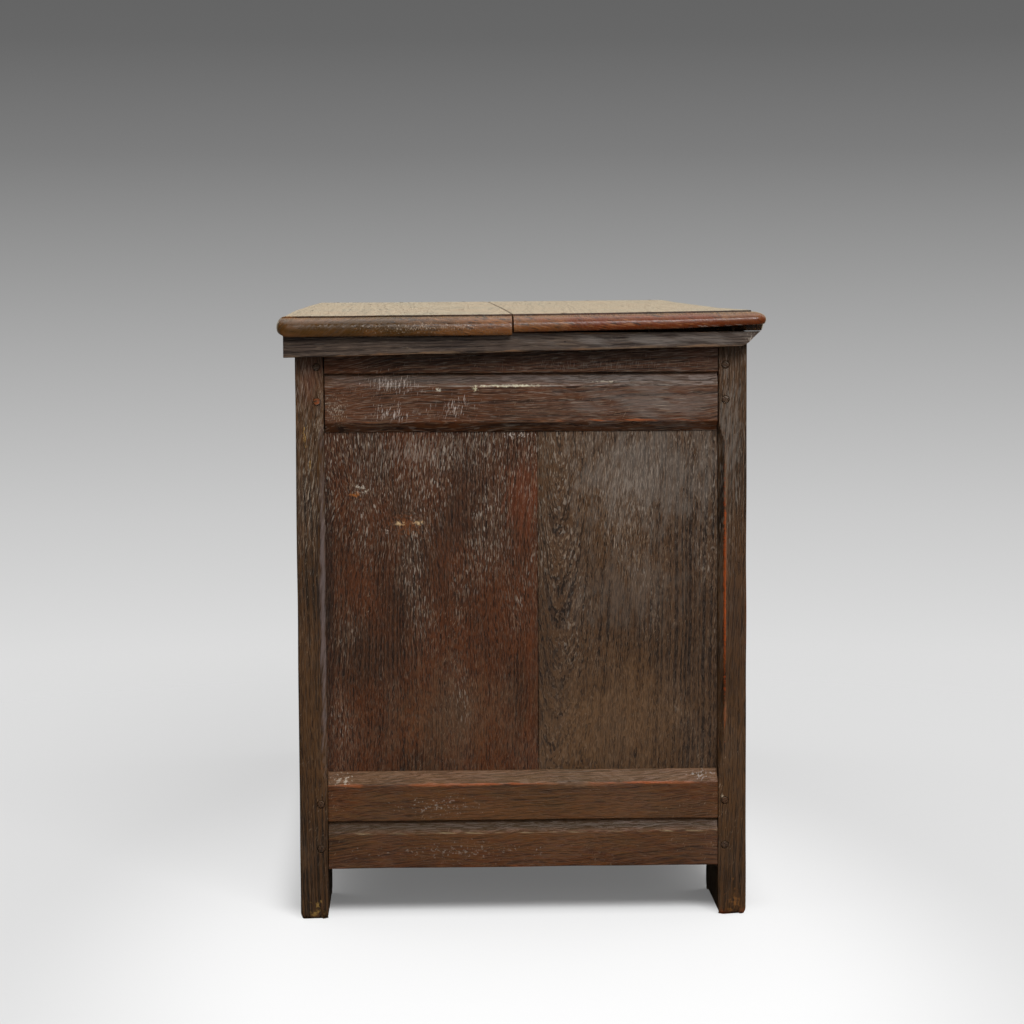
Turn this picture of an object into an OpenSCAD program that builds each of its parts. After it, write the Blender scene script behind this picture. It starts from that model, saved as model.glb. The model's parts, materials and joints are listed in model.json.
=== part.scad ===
// Joined oak coffer: a pegged frame of stiles and rails with loose panels, a bottom of lapped
// boards, a small lidded till inside, a lock, and a two-board lid on strap hinges.
// X runs along the length, the front faces -Y and Z is up. The origin is on the floor, under the middle.

/* [Frame] */
// Length of the frame along its front
frame_l = 1316; // [1100:2:1600]
// Depth of the frame from front to back
frame_d = 585; // [480:1:680]
// Height of the stiles, from the floor to their tops
stile_h = 766; // [680:1:880]
// Broad side of a stile, seen from the front
stile_w = 160; // [150:1:190]
// Narrow side of a stile, seen from the end
stile_t = 37; // [35:1:44]
// Thickness of the rails and muntins
rail_t = 30; // [28:1:33]
// Height of the top rails
top_rail_h = 129; // [122:1:150]
// Height of the bottom rails
bottom_rail_h = 127; // [115:1:150]
// Height of the feet below the bottom rails
foot_h = 66; // [20:1:120]
// Width of a muntin, the upright between two panels
muntin_w = 90; // [70:1:120]
// How far the faces of the rails lie behind the faces of the stiles
face_step = 1; // [0.5:0.1:2]

/* [Panels and joints] */
// Thickness of a panel
panel_t = 9; // [7:0.5:10]
// Depth of the groove round a panel
groove_deep = 9; // [6:0.5:11]
// Distance from the face of a rail to the groove behind it
groove_set = 13; // [12:0.5:14]
// Gap on each side of a panel in its groove
panel_slack = 0.25; // [0.1:0.05:0.5]
// Length of the tenons on the end rails
end_tenon = 28; // [20:1:30]
// Length of the tenons on the front and back rails
long_tenon = 45; // [30:1:60]
// Length of the tenons on the muntins
muntin_tenon = 36; // [34:1:42]
// Wood left above a top tenon and below a bottom tenon
tenon_shoulder = 15; // [8:1:18]
// Radius of a wooden peg
peg_r = 4.9; // [4:0.1:5.5]
// Gap round a peg in its hole
peg_slack = 0.1; // [0.05:0.05:0.2]
// How far a peg stands out of the wood
peg_proud = 0.8; // [0.4:0.1:1.5]
// From the shoulder of an end rail to its pegs
end_peg_in = 9; // [7:0.5:12]
// From the shoulder of a front or back rail to its pegs
long_peg_in = 14; // [10:1:18]
// From the panel edge of a rail to the peg of a muntin
muntin_peg_in = 26; // [24:1:28]
// From the bottom of a bottom rail to its lower peg
low_peg_up = 27; // [25:1:32]
// From the top of a top rail to its upper peg
top_peg_down = 43; // [35:1:50]
// From the panel groove of a rail to its nearer peg
inner_peg_in = 32; // [28:1:36]
// Place of the joint in an end panel, from the middle towards the back
end_panel_joint = -21; // [-60:1:60]
// Gap between the two boards of an end panel
panel_joint_gap = 0.6; // [0.3:0.1:0.9]

/* [Mouldings] */
// Depth of the channel run along the rails
channel_deep = 7; // [4:0.5:8]
// Height of that channel
channel_h = 17; // [10:1:20]
// From the top of a top rail down to its channel
top_channel_down = 52; // [45:1:60]
// From the top of a bottom rail down to its channel
low_channel_down = 64; // [55:1:70]
// Height of the bevel along the lower edge of a top rail
top_bevel_h = 13; // [8:0.5:18]
// Height of the bevel along the upper edge of a bottom rail
low_bevel_h = 16.5; // [8:0.5:20]
// Flat left between a bevel and the panel groove
bevel_land = 1; // [0.5:0.5:2]
// Width of the stopped chamfers beside the panels
chamfer_w = 12; // [6:0.5:12.5]
// Length over which a chamfer runs out
chamfer_run = 30; // [15:1:50]
// From the bevel of a rail to the end of a chamfer
chamfer_stop = 4; // [0:1:20]

/* [Lid] */
// Thickness of the lid
lid_t = 27.5; // [22:0.5:32]
// How far the lid stands out over the front and the back
lid_over = 21.5; // [20:0.5:32]
// How far the lid stands out over each end
lid_end_over = 42; // [40:1:52]
// Gap between the closed lid and the frame
lid_gap = 0.3; // [0.2:0.1:1]
// Width of the back board of the lid
lid_back_w = 302; // [200:1:380]
// Gap between the two boards of the lid
lid_joint_gap = 2; // [0.5:0.5:3]
// Width of the thumb moulding round the front and the ends
thumb_w = 19; // [14:1:22]
// Height of the step above that moulding
thumb_step = 2.5; // [1:0.5:4]
// Width of the round on the back edge of the lid
bull_w = 11.5; // [6:0.5:14]
// Width of the small round below the nose of each edge
under_w = 4; // [2:0.5:6]
// Height of the nose of each edge above the underside
nose_h = 10; // [6:0.5:12]
// Thickness of a lid cleat, along the length of the coffer
cleat_t = 26.5; // [20:0.5:30]
// Height of a lid cleat at its back end
cleat_back_h = 31; // [26:1:36]
// Height of a lid cleat at its front end
cleat_front_h = 19; // [18.5:0.5:30]
// Gap between a cleat and the end of the frame
cleat_gap = 1.5; // [1:0.5:3]
// How far a cleat reaches past the front of the frame
cleat_front = 13.5; // [8:0.5:20]
// How far a cleat reaches past the back of the frame
cleat_back = 13.5; // [8:0.5:18]
// Length and height of the slanted cut at the front of a cleat
cleat_cut = 17; // [8:1:18]
// Size of the small round below that cut
cleat_round = 6; // [3:1:10]
// Nails along each cleat
cleat_nails_n = 6; // [3:1:8]
// From the ends of the frame's depth to the first and last of those nails
cleat_nail_in = 20; // [15:1:40]
// Depth of those nails in the cleat
cleat_nail_deep = 14; // [10:1:16]

/* [Hinges] */
// From the end of the frame to the middle of a hinge
hinge_in = 328; // [240:1:340]
// Width of a hinge strap
strap_w = 32; // [26:1:40]
// Thickness of a hinge strap
strap_t = 2.8; // [2:0.1:3.4]
// Length of the strap under the lid
lid_strap_l = 400; // [360:5:450]
// Radius of a hinge knuckle
knuckle_r = 5; // [4.5:0.1:6]
// Gap between the knuckles, and round them
knuckle_gap = 0.4; // [0.3:0.1:0.8]
// Radius of the hinge pin
hinge_pin_r = 2.95; // [2.4:0.05:3.2]
// Gap round the hinge pin
pin_slack = 0.05; // [0.02:0.01:0.1]
// Radius of a nail
nail_r = 1.9; // [1.5:0.1:2.2]
// Gap round a nail
nail_slack = 0.1; // [0.05:0.05:0.2]
// Radius of a nail head
nail_head_r = 4.5; // [3.5:0.1:5.5]
// Height of a nail head
nail_head_h = 1.5; // [0.8:0.1:2]
// Radius of a nail head that is let in flush
flush_head_r = 3.5; // [3:0.1:4.5]
// Depth of the hinge nails in the back rail
back_nail_deep = 22; // [15:1:24]
// Length of the pointed end of a strap
strap_point = 20; // [12:1:26]
// From the hinge to the first nail through the lid
first_nail_in = 16; // [13:1:20]
// Spacing of the next nails through the lid
lid_nail_gap = 70; // [60:1:72]
// From the tip of a lid strap to its last nail
last_nail_in = 22; // [16:1:26]
// From the tip of a lid strap to its last nail but one
next_nail_in = 70; // [60:1:72]

/* [Lock] */
// From the top of the rail to the plate on the front
plate_down = 6; // [5:1:8]
// Width of the plate on the front
plate_w = 80; // [70:1:110]
// Height of that plate
plate_h = 98; // [94:1:104]
// Thickness of that plate
plate_t = 1.6; // [1:0.1:2.5]
// From the top of the rail to the middle of the keyhole
keyhole_down = 48; // [40:1:54]
// Radius of the round part of the keyhole
keyhole_r = 4.5; // [4:0.1:5.5]
// Width of the slot of the keyhole
keyslot_w = 5; // [4.6:0.1:6]
// Length of the keyhole's slot, below the middle of the round part
keyslot_l = 15; // [11:1:18]
// Width of the lock case behind the rail
case_w = 110; // [100:1:130]
// Height of the lock case
case_h = 90; // [70:1:100]
// Depth of the lock case
case_d = 22; // [20:1:28]
// Thickness of the walls of the lock case
case_wall = 2; // [1.5:0.5:3]
// Width of an ear of the lock case
ear_w = 13; // [12:1:18]
// Travel of the bolt
bolt_travel = 12; // [9:1:14]
// Height and depth of the bolt
bolt_size = 7; // [5:0.5:8]
// Length of the bolt
bolt_l = 44; // [40:1:46]
// Radius of a lock nail
lock_nail_r = 1.4; // [1:0.1:1.5]
// Depth of the lock nails in the wood
lock_nail_deep = 12; // [9:1:13]
// From the edges of the plate to its nails
plate_nail_in = 8; // [6:1:10]
// From the bottom and the top of the case to the nails in its ears
ear_nail_in = 16; // [12:1:20]
// Thickness of the staple that hangs from the lid
staple_t = 5; // [4:0.5:6]
// Width of that staple
staple_w = 14; // [12:0.5:15]
// Gap round the staple in the case
staple_gap = 1.2; // [1:0.1:1.5]
// Length of the plate of the staple
staple_plate_l = 60; // [50:1:80]
// Width of the plate of the staple
staple_plate_w = 18; // [16:1:19]
// Thickness of the plate of the staple
staple_plate_t = 2; // [1.5:0.5:2.5]

/* [Till] */
// Clear depth inside the till
till_deep = 110; // [80:1:130]
// Thickness of the till's side
till_side_t = 12; // [10:0.5:14]
// How far the till's side reaches below the till's floor
till_side_drop = 8; // [4:1:20]
// Thickness of the till's floor
till_floor_t = 10; // [8:0.5:12]
// Thickness of the till's lid
till_lid_t = 9; // [8.6:0.2:12]
// Depth of the housings that hold the till
till_housing = 6; // [4:0.5:8]
// From the edge of a stile to the side of the till
till_side_set = 5; // [3:1:15]
// Radius of the wooden pintles of the till's lid
pintle_r = 4; // [3:0.1:4.2]
// Length of a pintle
pintle_l = 9; // [6:1:14]
// Gap between the till's lid, stood upright, and the lid of the coffer
till_headroom = 7.5; // [4:0.5:20]

/* [Bottom] */
// Thickness of the bottom boards
bottom_t = 12; // [9:0.5:15]
// From the bottom of a rail to the bottom boards
bottom_up = 34; // [20:1:40]
// Depth of the groove that holds the bottom boards
bottom_groove = 7; // [5:0.5:7]
// Boards between the stiles
bottom_boards_n = 4; // [4:1:4]
// Overlap of two bottom boards
bottom_lap = 10; // [6:1:16]

/* [Hidden] */
$fn = 48;

// How far a cutter runs past the face that it cuts
past = 1;
// Gap between flat pieces that lie beside each other
slack = 0.3;

// Outer faces of the frame, faces of the rails, and inner faces of the stiles and rails
half_l = frame_l / 2;
half_d = frame_d / 2;
rail_x = half_l - face_step;
rail_y = half_d - face_step;
stile_in_x = half_l - stile_w;
stile_in_y = half_d - stile_t;
rail_in_x = rail_x - rail_t;
rail_in_y = rail_y - rail_t;
long_span = 2 * stile_in_x;
end_span = 2 * stile_in_y;

// Heights of the panel opening, its groove and the tenons
opening_z0 = foot_h + bottom_rail_h;
opening_z1 = stile_h - top_rail_h;
groove_w = panel_t + 2 * panel_slack;
groove_z0 = opening_z0 - groove_deep;
groove_z1 = opening_z1 + groove_deep;
groove_x = rail_x - groove_set;
groove_y = rail_y - groove_set;
tongue = groove_deep - panel_slack;
low_tenon = [foot_h + tenon_shoulder, groove_z0];
top_tenon = [groove_z1, stile_h - tenon_shoulder];
mortise_extra = 1;
bevel_d = groove_set - bevel_land;
chamfer_z0 = opening_z0 - low_bevel_h + chamfer_stop;
chamfer_z1 = opening_z1 + top_bevel_h - chamfer_stop;

// Widths along the front
panel_open = (long_span - 2 * muntin_w) / 3;
muntin_x = (panel_open + muntin_w) / 2;
muntin_tenon_w = muntin_w - 2 * groove_deep;

// Pegs: heights at the corners and in the muntins, and lengths
peg_zs = [foot_h + low_peg_up, groove_z0 - inner_peg_in, groove_z1 + inner_peg_in, stile_h - top_peg_down];
muntin_peg_zs = [opening_z0 - muntin_peg_in, opening_z1 + muntin_peg_in];
peg_hole_r = peg_r + peg_slack;
peg_hole_l = 42;
corner_peg_short = 2;

// Bottom boards
bottom_z = foot_h + bottom_up;
bottom_y = rail_in_y + bottom_groove - slack;
bottom_x = rail_in_x + bottom_groove - slack;
bottom_joint_x = stile_in_x - bottom_lap / 2;
bottom_joints = [for (i = [0 : bottom_boards_n]) -bottom_joint_x + 2 * bottom_joint_x * i / bottom_boards_n];

// Lid
lid_z = stile_h + lid_gap;
lid_half_l = half_l + lid_end_over;
lid_half_d = half_d + lid_over;
lid_joint_y = lid_half_d - lid_back_w;
edge_steps = 8;
cleat_x = half_l + cleat_gap;
cleat_mid_x = cleat_x + cleat_t / 2;
cleat_nail_span = frame_d - 2 * cleat_nail_in;
cleat_nail_ys = [for (i = [0 : cleat_nails_n - 1]) cleat_nail_span * (i / (cleat_nails_n - 1) - 0.5)];
cleat_nail_l = lid_t + cleat_nail_deep;

// Hinges: the axis lies just behind the back rail, and the knuckle is flush with the top of the lid strap
strap_z = lid_z + strap_t;
hinge_y = rail_y + knuckle_gap + knuckle_r;
hinge_z = strap_z - knuckle_r - knuckle_gap;
hinge_x = half_l - hinge_in;
hinge_bore_r = hinge_pin_r + pin_slack;
middle_knuckle_w = strap_w / 3;
leaf_y = hinge_y - knuckle_r - knuckle_gap;
back_leaf_up = 15;
back_leaf_z0 = opening_z1 + back_leaf_up;
back_leaf_z1 = hinge_z - knuckle_r - knuckle_gap;
strap_taper = 0.7;
nail_head_taper = 0.6;
lid_nail_steps = concat([for (i = [0 : 3]) first_nail_in + i * lid_nail_gap],
                        [lid_strap_l - next_nail_in, lid_strap_l - last_nail_in]);
back_nail_zs = [back_leaf_z1 - strap_point / 2,
                (back_leaf_z0 + back_leaf_z1) / 2,
                back_leaf_z0 + strap_point];
back_nail_l = strap_t + back_nail_deep;

// Lock
plate_z = stile_h - plate_down - plate_h;
plate_corner = 12;
keyhole_z = stile_h - keyhole_down;
case_down = 4;
case_z1 = stile_h - case_down;
case_z0 = case_z1 - case_h;
case_y = -rail_in_y + case_d;
staple_y = -rail_in_y + case_d / 2;
guide_wall = 4;
bolt_z = case_z1 - case_wall - guide_wall - bolt_size;
bolt_x0 = -staple_t / 2 - staple_gap - slack - bolt_l;
bolt_notch_w = 6;
bolt_notch_h = 2.8;
guide_t = 5;
guide_gap = 0.25;
guide_xs = [bolt_x0 + guide_wall, bolt_x0 + bolt_l - guide_t - guide_wall];
eye_gap = 1;
staple_z0 = bolt_z - eye_gap - guide_wall;
staple_nail_x = staple_plate_l / 2 - plate_nail_in;
lock_nail_zs = [plate_z + plate_nail_in, plate_z + plate_h - plate_nail_in];
ear_nail_zs = [case_z0 + ear_nail_in, case_z1 - ear_nail_in];

// Till at the left end; its lid stands upright just below the closed lid of the coffer
till_pivot_in = 11;
till_free_in = 1;
till_pivot_x = -rail_in_x + till_pivot_in;
till_free_x = -stile_in_x - till_free_in;
till_lid_l = till_free_x - till_pivot_x;
till_pivot_z = stile_h - till_headroom - till_lid_l;
till_side_x = -stile_in_x - till_side_set;
till_top = till_pivot_z - till_lid_t / 2 - slack;
till_floor_z = till_top - till_deep - till_floor_t;
till_side_z = till_floor_z - till_side_drop;
till_floor_x0 = -groove_x + groove_w;
till_floor_x1 = till_side_x - till_side_t + till_housing;
till_end_gap = 0.8;
till_ease = 1.5;
pintle_slack = 0.08;

// A board given by two opposite corners
module block(a, b) {
    translate(a) cube(b - a);
}

// The four ways to place a piece that is drawn at the front left corner
module at_right() {
    mirror([1, 0, 0]) children();
}

module at_back() {
    mirror([0, 1, 0]) children();
}

// A cutter for a chamfer along +Z that runs out at both ends; the arris is on the Z axis and the
// wood lies towards +X and +Y
module stopped_chamfer(length, width, run) {
    deep = width / sqrt(2);
    rotate([0, 0, 45]) rotate([90, 0, 0]) linear_extrude(4 * width, center = true)
        polygon([[-past, 0], [0, 0], [deep, run], [deep, length - run], [0, length], [-past, length]]);
}

module panel_side_chamfer() {
    translate([0, 0, chamfer_z0]) stopped_chamfer(chamfer_z1 - chamfer_z0, chamfer_w, chamfer_run);
}

// Holes for the pegs of one corner post: across its narrow face, then across its broad face
module corner_peg_holes() {
    for (z = peg_zs) {
        translate([-half_l - past, -stile_in_y - end_peg_in, z])
            rotate([0, 90, 0]) cylinder(h = peg_hole_l + past, r = peg_hole_r);
        translate([-stile_in_x - long_peg_in, -half_d - past, z])
            rotate([-90, 0, 0]) cylinder(h = stile_t + 2 * past, r = peg_hole_r);
    }
}

// Housings in a left stile for the side and floor of the till, and the bore for a pintle
module till_housings() {
    y0 = -stile_in_y - till_housing;
    y1 = -stile_in_y + past;
    block([till_side_x - till_side_t, y0, till_side_z], [till_side_x, y1, till_top + slack]);
    block([till_floor_x0 - past, y0, till_floor_z], [till_floor_x1 + slack, y1, till_floor_z + till_floor_t]);
    translate([till_pivot_x, -stile_in_y + past, till_pivot_z]) rotate([90, 0, 0])
        cylinder(h = pintle_l + 1 + past, r = pintle_r + pintle_slack);
}

// A corner post at the front left, with its grooves, mortises and peg holes
module stile(shown_face, holds_till) {
    difference() {
        block([-half_l, -half_d, 0], [-stile_in_x, -stile_in_y, stile_h]);
        block([-groove_x, -stile_in_y - groove_deep, groove_z0 - past],
              [-groove_x + groove_w, -stile_in_y + past, groove_z1 + past]);
        block([-stile_in_x - groove_deep, -groove_y, groove_z0 - past],
              [-stile_in_x + past, -groove_y + groove_w, groove_z1 + past]);
        for (z = [low_tenon, top_tenon]) {
            block([-groove_x, -stile_in_y - end_tenon - mortise_extra, z[0]],
                  [-groove_x + groove_w, -stile_in_y + past, z[1]]);
            block([-stile_in_x - long_tenon - mortise_extra, -groove_y, z[0]],
                  [-stile_in_x + past, -groove_y + groove_w, z[1]]);
        }
        corner_peg_holes();
        translate([-half_l, -stile_in_y, 0]) mirror([0, 1, 0]) panel_side_chamfer();
        if (shown_face) translate([-stile_in_x, -half_d, 0]) mirror([1, 0, 0]) panel_side_chamfer();
        if (holds_till) till_housings();
    }
}

// Sections of the rails: the first coordinate runs in from the face and the second one up
function plain_section(h) = [[0, 0], [rail_t, 0], [rail_t, h], [0, h]];

function channel_notch(z) = [[0, z], [channel_deep, z], [0, z - channel_h]];

function top_section() = concat(
    [[0, top_bevel_h], [bevel_d, 0], [rail_t, 0], [rail_t, top_rail_h], [0, top_rail_h]],
    channel_notch(top_rail_h - top_channel_down));

function bottom_section() = concat(
    [[0, 0], [rail_t, 0], [rail_t, bottom_rail_h], [bevel_d, bottom_rail_h],
     [0, bottom_rail_h - low_bevel_h]],
    channel_notch(bottom_rail_h - low_channel_down));

// A rail that lies along Y with its face towards -X at x = 0 and its bottom at z = 0
module rail(section, span, tenon_l, tenon_z, groove_at, peg_in, pegs) {
    difference() {
        union() {
            rotate([90, 0, 0]) linear_extrude(span, center = true) polygon(section);
            block([groove_set, -span / 2 - tenon_l, tenon_z[0]],
                  [groove_set + groove_w, span / 2 + tenon_l, tenon_z[1]]);
        }
        block([groove_set, -span / 2 - past, groove_at[0]],
              [groove_set + groove_w, span / 2 + past, groove_at[1]]);
        for (side = [-1, 1], z = pegs)
            translate([0, side * (span / 2 + peg_in), z]) rotate([0, 90, 0])
                cylinder(h = rail_t, r = peg_hole_r);
    }
}

module top_rail(section, span, tenon_l, peg_in) {
    translate([0, 0, opening_z1])
        rail(section, span, tenon_l, top_tenon - [opening_z1, opening_z1], [-past, groove_deep], peg_in,
             [peg_zs[2] - opening_z1, peg_zs[3] - opening_z1]);
}

module bottom_rail(section, span, tenon_l, peg_in) {
    difference() {
        translate([0, 0, foot_h])
            rail(section, span, tenon_l, low_tenon - [foot_h, foot_h],
                 [bottom_rail_h - groove_deep, bottom_rail_h + past], peg_in,
                 [peg_zs[0] - foot_h, peg_zs[1] - foot_h]);
        block([rail_t - bottom_groove, -span / 2 - past, bottom_z],
              [rail_t + past, span / 2 + past, bottom_z + bottom_t + slack]);
    }
}

// Places for rails at the left end, the front and the back
module on_left_end() {
    translate([-rail_x, 0, 0]) children();
}

module on_front() {
    translate([0, -rail_y, 0]) rotate([0, 0, 90]) children();
}

module on_back() {
    translate([0, rail_y, 0]) rotate([0, 0, -90]) children();
}

// Mortises for the two muntins of one side, in the frame of a rail
module muntin_mortises() {
    for (side = [-1, 1])
        block([groove_set, side * muntin_x - muntin_tenon_w / 2, opening_z0 - muntin_tenon - mortise_extra],
              [groove_set + groove_w, side * muntin_x + muntin_tenon_w / 2,
               opening_z1 + muntin_tenon + mortise_extra]);
}

// Holes for the pegs of the muntins, in the frame of a rail
module muntin_peg_holes() {
    for (side = [-1, 1], z = muntin_peg_zs)
        translate([-past, side * muntin_x, z]) rotate([0, 90, 0])
            cylinder(h = rail_t + 2 * past, r = peg_hole_r);
}

module long_top_rail(section) {
    difference() {
        top_rail(section, long_span, long_tenon, long_peg_in);
        muntin_mortises();
        muntin_peg_holes();
    }
}

module long_bottom_rail(section) {
    difference() {
        bottom_rail(section, long_span, long_tenon, long_peg_in);
        muntin_mortises();
        muntin_peg_holes();
    }
}

// A muntin that faces -Y at y = 0 and is centred on x = 0; its shoulders fit over the rails' bevels
module muntin(bevels) {
    low = bevels ? low_bevel_h : 0;
    high = bevels ? top_bevel_h : 0;
    difference() {
        union() {
            rotate([90, 0, 90]) linear_extrude(muntin_w, center = true)
                polygon([[0, opening_z0 - low], [bevel_d, opening_z0], [rail_t, opening_z0],
                         [rail_t, opening_z1], [bevel_d, opening_z1], [0, opening_z1 + high]]);
            block([-muntin_tenon_w / 2, groove_set, opening_z0 - muntin_tenon],
                  [muntin_tenon_w / 2, groove_set + groove_w, opening_z1 + muntin_tenon]);
        }
        for (side = [0, 1]) mirror([side, 0, 0]) {
            block([muntin_w / 2 - groove_deep, groove_set, groove_z0],
                  [muntin_w / 2 + past, groove_set + groove_w, groove_z1]);
            if (bevels) translate([-muntin_w / 2, 0, 0]) panel_side_chamfer();
        }
        for (z = muntin_peg_zs)
            translate([0, -past, z]) rotate([-90, 0, 0]) cylinder(h = rail_t + 2 * past, r = peg_hole_r);
    }
}

// A panel on the front whose opening is centred on x = 0
module long_panel() {
    block([-panel_open / 2 - tongue, -groove_y + panel_slack, groove_z0 + panel_slack],
          [panel_open / 2 + tongue, -groove_y + panel_slack + panel_t, groove_z1 - panel_slack]);
}

// Part of the panel at the left end between two places along Y
module end_panel_board(y0, y1) {
    block([-groove_x + panel_slack, y0, groove_z0 + panel_slack],
          [-groove_x + panel_slack + panel_t, y1, groove_z1 - panel_slack]);
}

module end_panel_back_board() {
    end_panel_board(end_panel_joint + panel_joint_gap / 2, stile_in_y + tongue);
}

module end_panel_front_board() {
    end_panel_board(-stile_in_y - tongue, end_panel_joint - panel_joint_gap / 2);
}

// Pegs of one end: two in each corner joint
module end_pegs() {
    for (side = [-1, 1], z = peg_zs)
        translate([-half_l - peg_proud, side * (stile_in_y + end_peg_in), z]) rotate([0, 90, 0])
            cylinder(h = peg_hole_l + peg_proud - corner_peg_short, r = peg_r);
}

// Pegs of the front: two in each corner joint and one at each end of a muntin
module long_side_pegs() {
    for (side = [-1, 1], z = peg_zs)
        translate([side * (stile_in_x + long_peg_in), -half_d - peg_proud, z]) rotate([-90, 0, 0])
            cylinder(h = stile_t + peg_proud - corner_peg_short, r = peg_r);
    for (side = [-1, 1], z = muntin_peg_zs)
        translate([side * muntin_x, -rail_y - peg_proud, z]) rotate([-90, 0, 0])
            cylinder(h = rail_t + peg_proud, r = peg_r);
}

// Bottom board between two joints: its upper half laps over the board on its right
module bottom_board(x0, x1, y, lap0, lap1) {
    mid = bottom_z + bottom_t / 2;
    color("#6b5138") {
        block([x0 + lap0 / 2 + (lap0 > 0 ? slack : 0), -y, mid], [x1 + lap1 / 2, y, bottom_z + bottom_t]);
        block([x0 - lap0 / 2 + (lap0 > 0 ? slack : 0), -y, bottom_z], [x1 - lap1 / 2, y, mid]);
    }
}

module middle_bottom_board(i) {
    bottom_board(bottom_joints[i], bottom_joints[i + 1], bottom_y, bottom_lap, bottom_lap);
}

// Outlines of the lid's edges: distance in from the nose, then height above the underside
function edge_arc(centre_in, wide, tall, from, to) = [for (i = [0 : edge_steps])
    let (a = from + (to - from) * i / edge_steps) [centre_in + wide * cos(a), nose_h + tall * sin(a)]];

function thumb_edge() = concat(
    edge_arc(under_w, under_w, nose_h, 270, 180),
    edge_arc(thumb_w, thumb_w, lid_t - thumb_step - nose_h, 180, 90),
    [[thumb_w, lid_t]]);

function bull_edge() = concat(
    edge_arc(under_w, under_w, nose_h, 270, 180),
    edge_arc(bull_w, bull_w, lid_t - nose_h, 180, 90));

function facing_minus(points, half) = [for (p = points) [p[0] - half, p[1]]];

function facing_plus(points, half) = [
    for (i = [len(points) - 1 : -1 : 0]) [half - points[i][0], points[i][1]]];

module lid_shape() {
    translate([0, 0, lid_z]) intersection() {
        rotate([90, 0, 90]) linear_extrude(2 * lid_half_l, center = true)
            polygon(concat(facing_minus(thumb_edge(), lid_half_d), facing_plus(bull_edge(), lid_half_d)));
        rotate([90, 0, 0]) linear_extrude(2 * lid_half_d, center = true)
            polygon(concat(facing_minus(thumb_edge(), lid_half_l), facing_plus(thumb_edge(), lid_half_l)));
    }
}

// Holes through the lid and its cleats for the cleat nails, with room for the heads
module cleat_nail_holes() {
    for (side = [-1, 1], y = cleat_nail_ys)
        translate([side * cleat_mid_x, y, lid_z + lid_t]) {
            translate([0, 0, -cleat_nail_l]) cylinder(h = cleat_nail_l + past, r = nail_r + nail_slack);
            translate([0, 0, -nail_head_h]) cylinder(h = nail_head_h + past, r = flush_head_r + nail_slack);
        }
}

// Plan of a lid strap, grown by a gap on every side; it narrows to a point
module strap_plan(gap) {
    w = strap_w / 2 + gap;
    tip = hinge_y - lid_strap_l - gap;
    polygon([[-w, leaf_y + gap], [-w, leaf_y - strap_w], [-w * strap_taper, tip + strap_point], [0, tip],
             [w * strap_taper, tip + strap_point], [w, leaf_y - strap_w], [w, leaf_y + gap]]);
}

// Room in the lid for one hinge, with the nail holes
module hinge_room() {
    translate([0, 0, lid_z - past]) linear_extrude(past + strap_t + knuckle_gap / 2) strap_plan(knuckle_gap);
    block([-strap_w / 2 - 2 * knuckle_gap, leaf_y - past, lid_z - past],
          [strap_w / 2 + 2 * knuckle_gap, hinge_y + knuckle_r + 2 * knuckle_gap, strap_z + knuckle_gap / 2]);
    for (s = lid_nail_steps)
        translate([0, hinge_y - s, lid_z]) cylinder(h = lid_t + past, r = nail_r + nail_slack);
}

module lid_board(y0, y1) {
    difference() {
        intersection() {
            lid_shape();
            block([-lid_half_l, y0, lid_z], [lid_half_l, y1, lid_z + lid_t]);
        }
        cleat_nail_holes();
        for (side = [-1, 1]) translate([side * hinge_x, 0, 0]) hinge_room();
        staple_nail_holes();
    }
}

// The cleat under the left end of the lid: square behind and cut back at a slant in front, with its
// underside rising towards the front; the nail holes stop inside it
module lid_cleat() {
    front = -half_d - cleat_front;
    back = half_d + cleat_back;
    difference() {
        translate([-cleat_x - cleat_t, 0, lid_z]) rotate([90, 0, 90]) linear_extrude(cleat_t)
            polygon([[front, 0], [front + cleat_cut, -cleat_cut],
                     [front + cleat_cut + cleat_round, -cleat_front_h], [back, -cleat_back_h], [back, 0]]);
        cleat_nail_holes();
    }
}

module hinge_bore() {
    translate([0, hinge_y, hinge_z]) rotate([0, 90, 0])
        cylinder(h = strap_w + 2 * past, r = hinge_bore_r, center = true);
}

// The strap under the lid, with the middle knuckle
module lid_strap() {
    difference() {
        union() {
            translate([0, 0, lid_z]) linear_extrude(strap_t) strap_plan(0);
            block([-middle_knuckle_w / 2, leaf_y - past, lid_z],
                  [middle_knuckle_w / 2, hinge_y, strap_z - knuckle_gap]);
            translate([0, hinge_y, hinge_z]) rotate([0, 90, 0])
                cylinder(h = middle_knuckle_w, r = knuckle_r, center = true);
        }
        hinge_bore();
        for (s = lid_nail_steps)
            translate([0, hinge_y - s, lid_z - past])
                cylinder(h = strap_t + 2 * past, r = nail_r + nail_slack);
    }
}

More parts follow.
